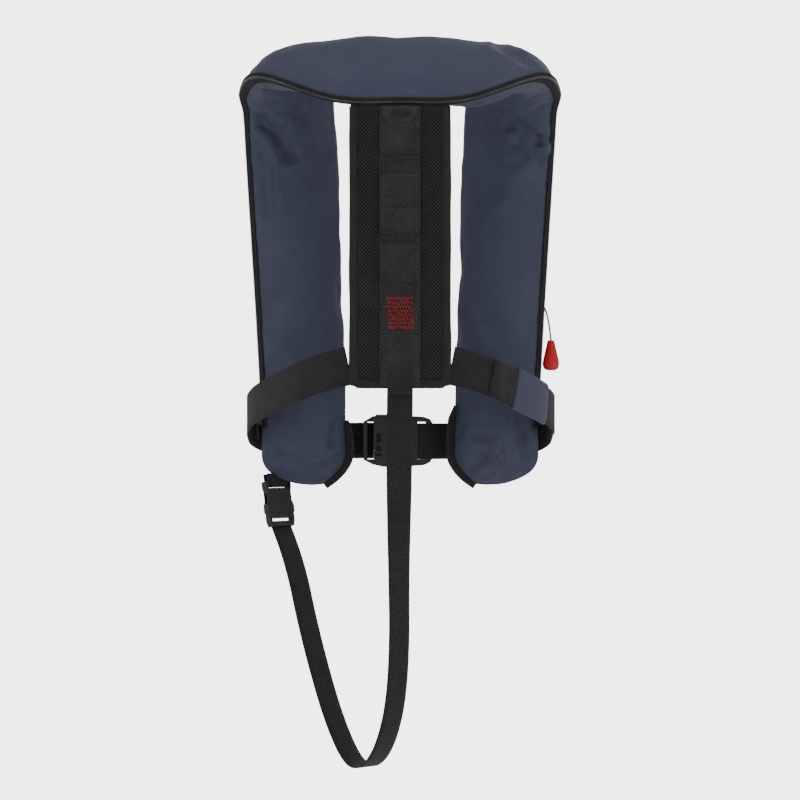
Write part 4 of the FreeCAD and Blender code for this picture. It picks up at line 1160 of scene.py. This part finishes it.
# %% Panel binding
left_low, left_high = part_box("panel_edging_left")
right_low, right_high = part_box("panel_edging_right")
hem_low, hem_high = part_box("panel_edging_bottom")
edge_x = (right_low.x + right_high.x) / 2
edge_y = (right_low.y + right_high.y) / 2
hem_z = (hem_low.z + hem_high.z) / 2
binding_points = [Vector((-edge_x, edge_y, right_high.z)), Vector((-edge_x, edge_y, -0.20)),
                  Vector((-edge_x, edge_y, hem_z + 14 * MM)),
                  Vector((-edge_x + 1.2 * MM, edge_y, hem_z + 4 * MM)),
                  Vector((-edge_x + 6 * MM, edge_y, hem_z)), Vector((0, edge_y, hem_z)),
                  Vector((edge_x - 6 * MM, edge_y, hem_z)),
                  Vector((edge_x - 1.2 * MM, edge_y, hem_z + 4 * MM)),
                  Vector((edge_x, edge_y, hem_z + 14 * MM)), Vector((edge_x, edge_y, -0.20)),
                  Vector((edge_x, edge_y, right_high.z))]


def straight_runs(points, spacing):
    """Points along straight runs, for a binding whose corners are already rounded."""
    line = []
    for a, b in zip(points, points[1:]):
        count = max(1, round((b - a).length / spacing))
        line += [a.lerp(b, k / count) for k in range(count)]
    return line + [points[-1]]


binding_line = straight_runs(binding_points, 4 * MM)
rings = []
for i, point in enumerate(binding_line):
    run = heading(binding_line, i)
    inwards = Vector((0, 1, 0)).cross(run).normalized()
    if inwards.dot(Vector((0, 0, -0.22)) - point) < 0:
        inwards = -inwards
    sway = noise.noise(Vector((point.x * 14, 3, point.z * 22))) * 0.9
    sway *= min(1, max(0, (point.z - hem_z) / (30 * MM)))
    puff = 1 + noise.noise(Vector((point.x * 60, 8, point.z * 75))) * 0.10
    outline = [(-4.8, -1.6), (-4.3, -3.4), (-3.0, -4.3), (0, -4.6), (3.4, -4.5), (4.7, -4.1),
               (4.7, 4.1), (3.4, 4.5), (0, 4.6), (-3.0, 4.3), (-4.3, 3.4), (-4.8, 1.6)]
    rings.append([point + (inwards * (x + sway) + Vector((0, y * puff, 0))) * MM
                  for x, y in outline])
binding = skin("panel_binding", rings)
dress(binding, TAPE, "jacket", "black_tape", "panel_edging_left", "panel_edging_right",
      "panel_edging_bottom")
stitch_line = []
for i in range(1, len(binding_line) - 1):
    run = heading(binding_line, i)
    inwards = Vector((0, 1, 0)).cross(run).normalized()
    if inwards.dot(Vector((0, 0, -0.22)) - binding_line[i]) < 0:
        inwards = -inwards
    stitch_line.append(binding_line[i] + (inwards * 3.3 + Vector((0, -4.6, 0))) * MM)
threads("binding_stitches", row(stitch_line, 3.2), 0.33 * MM, BLACK_THREAD, "black_tape")

# %% [markdown]
# Black tape joins the panel to the collar under the zip, and a sewn end joins the crotch strap to
# the hem. Both are short flat straps.

# %% Joining tapes
yoke_line = [Vector((x, -98.6, -64.5)) * MM for x in range(-57, 58, 6)]
yoke_tape = strap("yoke_tape", yoke_line, Vector((0, 0, 1)), 7.5 * MM, 0.8 * MM)
dress(yoke_tape, TAPE, "jacket", "black_tape")
end_line = [Vector((0, -102.6, z)) * MM for z in (-366, -372, -378, -384, -390)]
end_line += [Vector((0, -101.2, -394)) * MM, Vector((0.1, -99.6, -398)) * MM]
strap_end = strap("strap_sewn_end", end_line, Vector((1, 0, 0)), STRAP_WIDTH / 2 - 0.5 * MM,
                  0.7 * MM)
dress(strap_end, WEBBING, "jacket", "black_webbing")

# %% [markdown]
# ## Spine webbing
#
# Wide webbing runs down the middle of the panel. Between its sewn bands it stands off the panel
# as low loops, which hold the belt of a harness on some jackets. Its height over the panel is a
# list of places down the panel, and a smooth step joins them.

# %% Spine webbing
SPINE_HALF = (spine_high.x - spine_low.x) / 2
SPINE_LIFT = [(-67, 0.0), (-84, 0.2), (-90, 2.6), (-118, 3.2), (-122, 0.1), (-145, 0.0),
              (-149, 3.0), (-180, 3.4), (-183, 2.2), (-186, 3.2), (-210, 3.4), (-214, 0.2),
              (-226, 0.0), (-232, 3.8), (-262, 3.2), (-268, 0.8), (-272, 0.1), (-330, 0.0),
              (-389, 0.2)]


def lift_at(z):
    for (za, a), (zb, b) in zip(SPINE_LIFT, SPINE_LIFT[1:]):
        if za >= z >= zb:
            t = (za - z) / (za - zb)
            return a + (b - a) * t * t * (3 - 2 * t)
    return 0.0


spine_line = [Vector((0, spine_low.y + 1.0 * MM - lift_at(z) * MM, z * MM))
              for z in [-67 - 322 * k / 230 for k in range(231)]]


def spine_across(i, run):
    return Vector((1, 0.006 * math.sin(i * 0.11), 0))


spine = strap("spine_ribbon", spine_line, spine_across, SPINE_HALF, 1.0 * MM)
dress(spine, SPINE, "jacket", "black_webbing", "spine_webbing")


def across_rows(heights, half_wide, pitch):
    """Rows of stitches across the spine webbing at a list of heights."""
    pairs = []
    for z in heights:
        y = spine_low.y / MM - lift_at(z) - 0.05
        line = [Vector((x, y, z)) * MM for x in range(-half_wide, half_wide + 1, 2)]
        pairs += row(line, pitch)
    return pairs


# Rows of black thread across the sewn bands. The five close rows from -216 to -226 also darken the strip
# under the loop above, where its shadow falls: partly painted shadow.
sewn_and_shadow_band_rows = [-124 - 2.6 * k for k in range(9)] + [-216 - 2.6 * k for k in range(5)] + [-270, -183]
threads("band_stitches_and_painted_shadow", across_rows(sewn_and_shadow_band_rows, 21, 2.6), 0.34 * MM, BLACK_THREAD,
        "black_webbing")
side_rows = [[Vector((side * 21.6, spine_low.y / MM - lift_at(z) - 0.05, z)) * MM
              for z in range(-72, -386, -4)] for side in (1, -1)]
threads("spine_side_stitches", row(side_rows[0], 3.4) + row(side_rows[1], 3.4), 0.34 * MM,
        BLACK_THREAD, "black_webbing")

# %% [markdown]
# The red bar tack is eight rows of zigzag thread, sewn to and fro one under another.

# %% Bar tack
tack_low, tack_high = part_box("bar_tack")
TACK_ROWS, TACK_LEGS = 8, 18
pairs = []
row_high = (tack_high.z - tack_low.z) / TACK_ROWS
for r in range(TACK_ROWS):
    middle = tack_high.z - row_high * (r + 0.5)
    shift = random.uniform(-1.4, 1.4) * MM
    last = None
    for k in range(TACK_LEGS + 1):
        x = (tack_low.x + (tack_high.x - tack_low.x) * k / TACK_LEGS + shift
             + random.uniform(-0.3, 0.3) * MM)
        tall = row_high * random.uniform(0.42, 0.60)
        point = Vector((x, tack_low.y - (0.1 + 0.12 * (r % 2)) * MM,
                        middle + (tall if k % 2 else -tall)))
        if last:
            pairs.append((last, point))
        last = point
# The thread's pale pink patches are painted highlight.
tack = threads("tack_threads", pairs, 0.38 * MM, RED_THREAD, "red_thread")
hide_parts("bar_tack")

# %% [markdown]
# ## Hanger patch and loop
#
# Under the collar a patch with cut corners covers the end of the webbing, and a short ribbed loop
# on it takes a hook.

# %% Hanger patch
patch_low, patch_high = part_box("hanger_patch")
PATCH_OUTLINE = [(-21, -67), (-21, -74), (-19, -79), (-10, -88.2), (-7, -89.3), (7, -89.3),
                 (10, -88.2), (19, -77), (21, -72), (21, -67)]
bm = bmesh.new()
outline = [bm.verts.new((x * MM, patch_low.y, z * MM)) for x, z in PATCH_OUTLINE]
face = bm.faces.new(outline)
bmesh.ops.inset_region(bm, faces=[face], thickness=1.5 * MM, use_even_offset=True)
grown = bmesh.ops.extrude_face_region(bm, geom=bm.faces[:])["geom"]
back_side = [thing for thing in grown if isinstance(thing, bmesh.types.BMVert)]
bmesh.ops.translate(bm, verts=back_side, vec=(0, patch_high.y - patch_low.y, 0))
rim = [edge for edge in bm.edges if all(v.co.y < patch_low.y + 1e-5 for v in edge.verts)
       and any(len(f.verts) == 4 and abs(f.normal.y) < 0.5 for f in edge.link_faces)]
bmesh.ops.bevel(bm, geom=rim, offset=0.35 * MM, segments=2, profile=0.5, material=-1,
                affect="EDGES")
patch = finish_mesh(bm, "patch_cloth")
dress(patch, PATCH, "jacket", "black_tape", "hanger_patch")
patch_line = [Vector((x * 0.87, patch_low.y / MM - 0.05, -67 + (z + 67) * 0.87)) * MM
              for x, z in PATCH_OUTLINE]
threads("patch_stitches", row(patch_line, 2.8), 0.32 * MM, BLACK_THREAD, "black_tape")

# %% Hanger loop
loop_low, loop_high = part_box("hanger_loop")
reach = (loop_high.x - loop_low.x) / 2
near_y, far_y = loop_high.y - 0.6 * MM, loop_low.y + 0.7 * MM
loop_z = (loop_low.z + loop_high.z) / 2
loop_points = [Vector((-reach + 0.4 * MM, near_y, loop_z)),
               Vector((-reach * 0.86, near_y + (far_y - near_y) * 0.5, loop_z)),
               Vector((-reach * 0.66, far_y, loop_z)), Vector((0, far_y - 0.4 * MM, loop_z)),
               Vector((reach * 0.66, far_y, loop_z)),
               Vector((reach * 0.86, near_y + (far_y - near_y) * 0.5, loop_z)),
               Vector((reach - 0.4 * MM, near_y, loop_z))]
loop = strap("loop_ribbon", smooth_line(loop_points, 6), Vector((0, 0, 1)),
             (loop_high.z - loop_low.z) / 2, 0.55 * MM)
dress(loop, WEBBING, "jacket", "black_webbing", "hanger_loop")

# %% [markdown]
# ## Waist belt
#
# The belt leaves the panel through a tunnel, swings round the side below the arms and comes
# forward to the buckle. A spline through a dozen places gives its middle line; the strap stands
# upright on it.

# %% Belt line
BELT_ROUTE = [
    (59, -98.3, -365.5), (85, -90, -372), (117, -66, -383), (150, -25, -398), (175, 20, -411),
    (186.5, 65, -421), (187.5, 100, -431), (180, 122, -441), (158, 134, -451), (118, 136, -456),
]
BELT_HALF, BELT_THICK = 22.5 * MM, 0.9 * MM


def belt_line(sign, front_end):
    ends = [(40, -98.3, -362)] + BELT_ROUTE + [(80, 136, -456)]
    points = [Vector((sign * x, y, z)) * MM for x, y, z in ends]
    line = smooth_line(points, 14)[14:-14]
    stop = Vector((front_end, 136, -456)) * MM
    count = 12
    return line + [line[-1].lerp(stop, (k + 1) / count) for k in range(count)]


def belt_across(i, run):
    out = run.cross(Vector((0, 0, 1)))
    return out.cross(run)


belts = {}
for side, sign, front_end in (("right", 1, 62), ("left", -1, -33.2)):
    line = belt_line(sign, front_end)
    waved = [p + Vector((0, 0, noise.noise(Vector((k * 0.05, sign, 0))) * 0.8 * MM))
             for k, p in enumerate(line)]
    belts[side] = strap(f"belt_ribbon_{side}", waved, belt_across, BELT_HALF, BELT_THICK)
    dress(belts[side], WEBBING, "jacket", "black_webbing", f"belt_{side}")

# %% [markdown]
# The spare end of the belt is doubled back outside the right side and held by a sleeve of navy
# cloth. The sleeve is a flattened tube: four sides round the two layers, with open ends.

# %% Belt tail and sleeve
right_line = belt_line(1, 62)


def outside(line, i, distance):
    run = heading(line, i)
    return line[i] + run.cross(Vector((0, 0, 1))).normalized() * distance * MM


tail_line = [outside(right_line, i, 2.0 + 0.25 * math.sin(i * 0.21)
                     + 2.2 * math.exp(-((i - 26) / 3) ** 2)) for i in range(23, 79)]
tail = strap("belt_tail_ribbon", tail_line, belt_across, BELT_HALF - 0.5 * MM, BELT_THICK)
dress(tail, WEBBING, "jacket", "black_webbing", "belt_tail")

sleeve_low, sleeve_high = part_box("belt_sleeve")
inside_ring, outside_ring = [], []
rings_out, rings_in = [], []
for i in range(35, 56):
    run = heading(right_line, i)
    out = run.cross(Vector((0, 0, 1))).normalized()
    up = out.cross(run).normalized()
    for rings, high, near, far in ((rings_out, 25.1, -2.4, 4.4), (rings_in, 24.2, -1.5, 3.5)):
        ring = []
        for k in range(24):
            turn = math.tau * k / 24
            x, y = math.cos(turn), math.sin(turn)
            squash = abs(x) ** 0.35 * math.copysign(1, x)
            ring.append(right_line[i] + up * high * squash * MM
                        + out * ((near + far) / 2 + (far - near) / 2
                                 * abs(y) ** 0.7 * math.copysign(1, y)) * MM)
        rings.append(ring)
bm = bmesh.new()
loops = []
for ring_set in (rings_out, rings_in):
    grids = [[bm.verts.new(p) for p in ring] for ring in ring_set]
    for a, b in zip(grids, grids[1:]):
        for k in range(24):
            bm.faces.new((a[k], a[(k + 1) % 24], b[(k + 1) % 24], b[k]))
    loops.append((grids[0], grids[-1]))
for end in (0, 1):
    edges = []
    for loop_pair in loops:
        ring = loop_pair[end]
        edges += [bm.edges.get((ring[k], ring[(k + 1) % 24])) for k in range(24)]
    bmesh.ops.bridge_loops(bm, edges=edges)
sleeve = finish_mesh(bm, "sleeve_cloth")
dress(sleeve, NAVY, "jacket", "navy_cloth", "belt_sleeve")

# %% [markdown]
# A stub of webbing goes round the bar of the buckle's tongue and runs back behind the belt's front
# end, so that the belt can be drawn shorter. At the housing the belt wraps the bar of the frame.

# %% Belt stub
stub_low, stub_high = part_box("belt_stub")
stub_y = (stub_low.y + stub_high.y) / 2
near_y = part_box("buckle_tongue")[0].y - 1.1 * MM
stub_places = [(stub_high.x / MM, stub_y), (60, stub_y), (40, stub_y), (27, stub_y),
               (21.9, (stub_y + near_y) / 2), (27, near_y), (37, near_y), (43, near_y + 0.5 * MM),
               (54, stub_y - 2.2 * MM), (68, stub_y - 2.0 * MM)]
stub_line = smooth_line([Vector((x * MM, y, -0.4567)) for x, y in stub_places], 8)
stub = strap("stub_ribbon", stub_line, Vector((0, 0, 1)), BELT_HALF, BELT_THICK)
dress(stub, WEBBING, "tongue", "black_webbing", "belt_stub")

# %% [markdown]
# ## Clip tab
#
# A short length of strap loops round the clip's top bar and is sewn into the foot of the left
# lobe. It follows a narrow U.

# %% Clip tab
clip_low, clip_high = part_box("clip_tab")
clip_foot = Vector((-147.3617, 89.2833, -557.6962)) * MM
clip_up = Vector((-0.128778, 0.163228, 0.978148))
clip_out = plane_across.cross(clip_up).normalized()
TAB_LINE = [(-3.9, 62.5), (-3.9, 56), (-3.9, 50.5), (-3.2, 47.4), (0, 46.3), (3.2, 47.4),
            (3.9, 50.5), (3.9, 56), (3.9, 62.5)]
tab_points = smooth_line([clip_foot + clip_out * x * MM + clip_up * z * MM
                          for x, z in TAB_LINE], 5)
tab = strap("tab_ribbon", tab_points, plane_across, 15 * MM, 0.9 * MM)
dress(tab, WEBBING, "jacket", "black_webbing", "clip_tab")

# %% [markdown]
# ## Stage
#
# The jacket hangs over a plain pale floor whose edge curves up into a wall all round, so that
# every view has the same background. Large soft lights stand above and beside it. The strongest
# is high on the camera's side, because the collar is lit from above and shades the lobes.

# %% Floor and wall
bm = bmesh.new()
cove = [(0, -1.02), (3.6, -1.02), (4.4, -0.92), (5.0, -0.6), (5.3, 0.0), (5.35, 1.2),
        (5.4, 3.2)]
points = [bm.verts.new((r, 0, z)) for r, z in cove]
cove_edges = [bm.edges.new(pair) for pair in zip(points, points[1:])]
bmesh.ops.spin(bm, geom=points + cove_edges, cent=(0, 0, 0), axis=(0, 0, 1), angle=math.tau,
               steps=64, use_merge=True)
bmesh.ops.remove_doubles(bm, verts=bm.verts, dist=1e-5)
stage = finish_mesh(bm, "stage_floor")
for polygon in stage.data.polygons:
    if polygon.normal.z < -0.01:
        polygon.flip()
rounding = stage.modifiers.new("rounding", "SUBSURF")
rounding.levels = rounding.render_levels = 1
pale, pale_tree, pale_shader, *rest = start_material(
    "pale studio floor", (0.86, 0.86, 0.86), (0.88, 0.88, 0.88), 0.9, 2.0)
pale_shader.inputs["Emission Color"].default_value = (1, 1, 1, 1)
# The wall glows for the camera, so that it looks white without flooding the jacket with light.
seen = add_node(pale_tree, "ShaderNodeLightPath")
glow = add_node(pale_tree, "ShaderNodeMapRange", {0: seen.outputs["Is Camera Ray"], 3: 0.12,
                                                  4: 4.0})
pale_tree.links.new(glow.outputs[0], pale_shader.inputs["Emission Strength"])
stage.data.materials.append(pale)

# %% Lights
LIGHTS = [
    # name, place, aim, size, power
    ("left key", (-1.1, -0.95, 2.2), (0, 0, -0.1), 1.3, 16),
    ("right key", (1.4, -1.0, 2.2), (0, 0, -0.1), 1.3, 17),
    ("left fill", (-2.3, -1.5, -0.7), (0, 0, -0.5), 1.4, 10),
    ("right fill", (2.3, -1.4, -0.7), (0, 0, -0.5), 1.4, 10),
    ("front fill", (0.3, 2.5, 1.0), (0, 0, -0.3), 1.8, 12),
    ("low fill", (0.0, -2.3, -0.8), (0, 0, -0.5), 1.2, 4),
]
for name, place, aim, size, power in LIGHTS:
    lamp = bpy.data.lights.new(name, "AREA")
    lamp.size = size
    lamp.energy = power
    holder = bpy.data.objects.new(name, lamp)
    holder.location = place
    holder.rotation_euler = (Vector(aim) - Vector(place)).to_track_quat("-Z", "Y").to_euler()
    bpy.context.scene.collection.objects.link(holder)
world = bpy.data.worlds.new("studio")
world.use_nodes = True
bpy.context.scene.world = world
world.node_tree.nodes["Background"].inputs["Color"].default_value = (1, 1, 1, 1)
world.node_tree.nodes["Background"].inputs["Strength"].default_value = 0.18
print("lights:", len(LIGHTS))
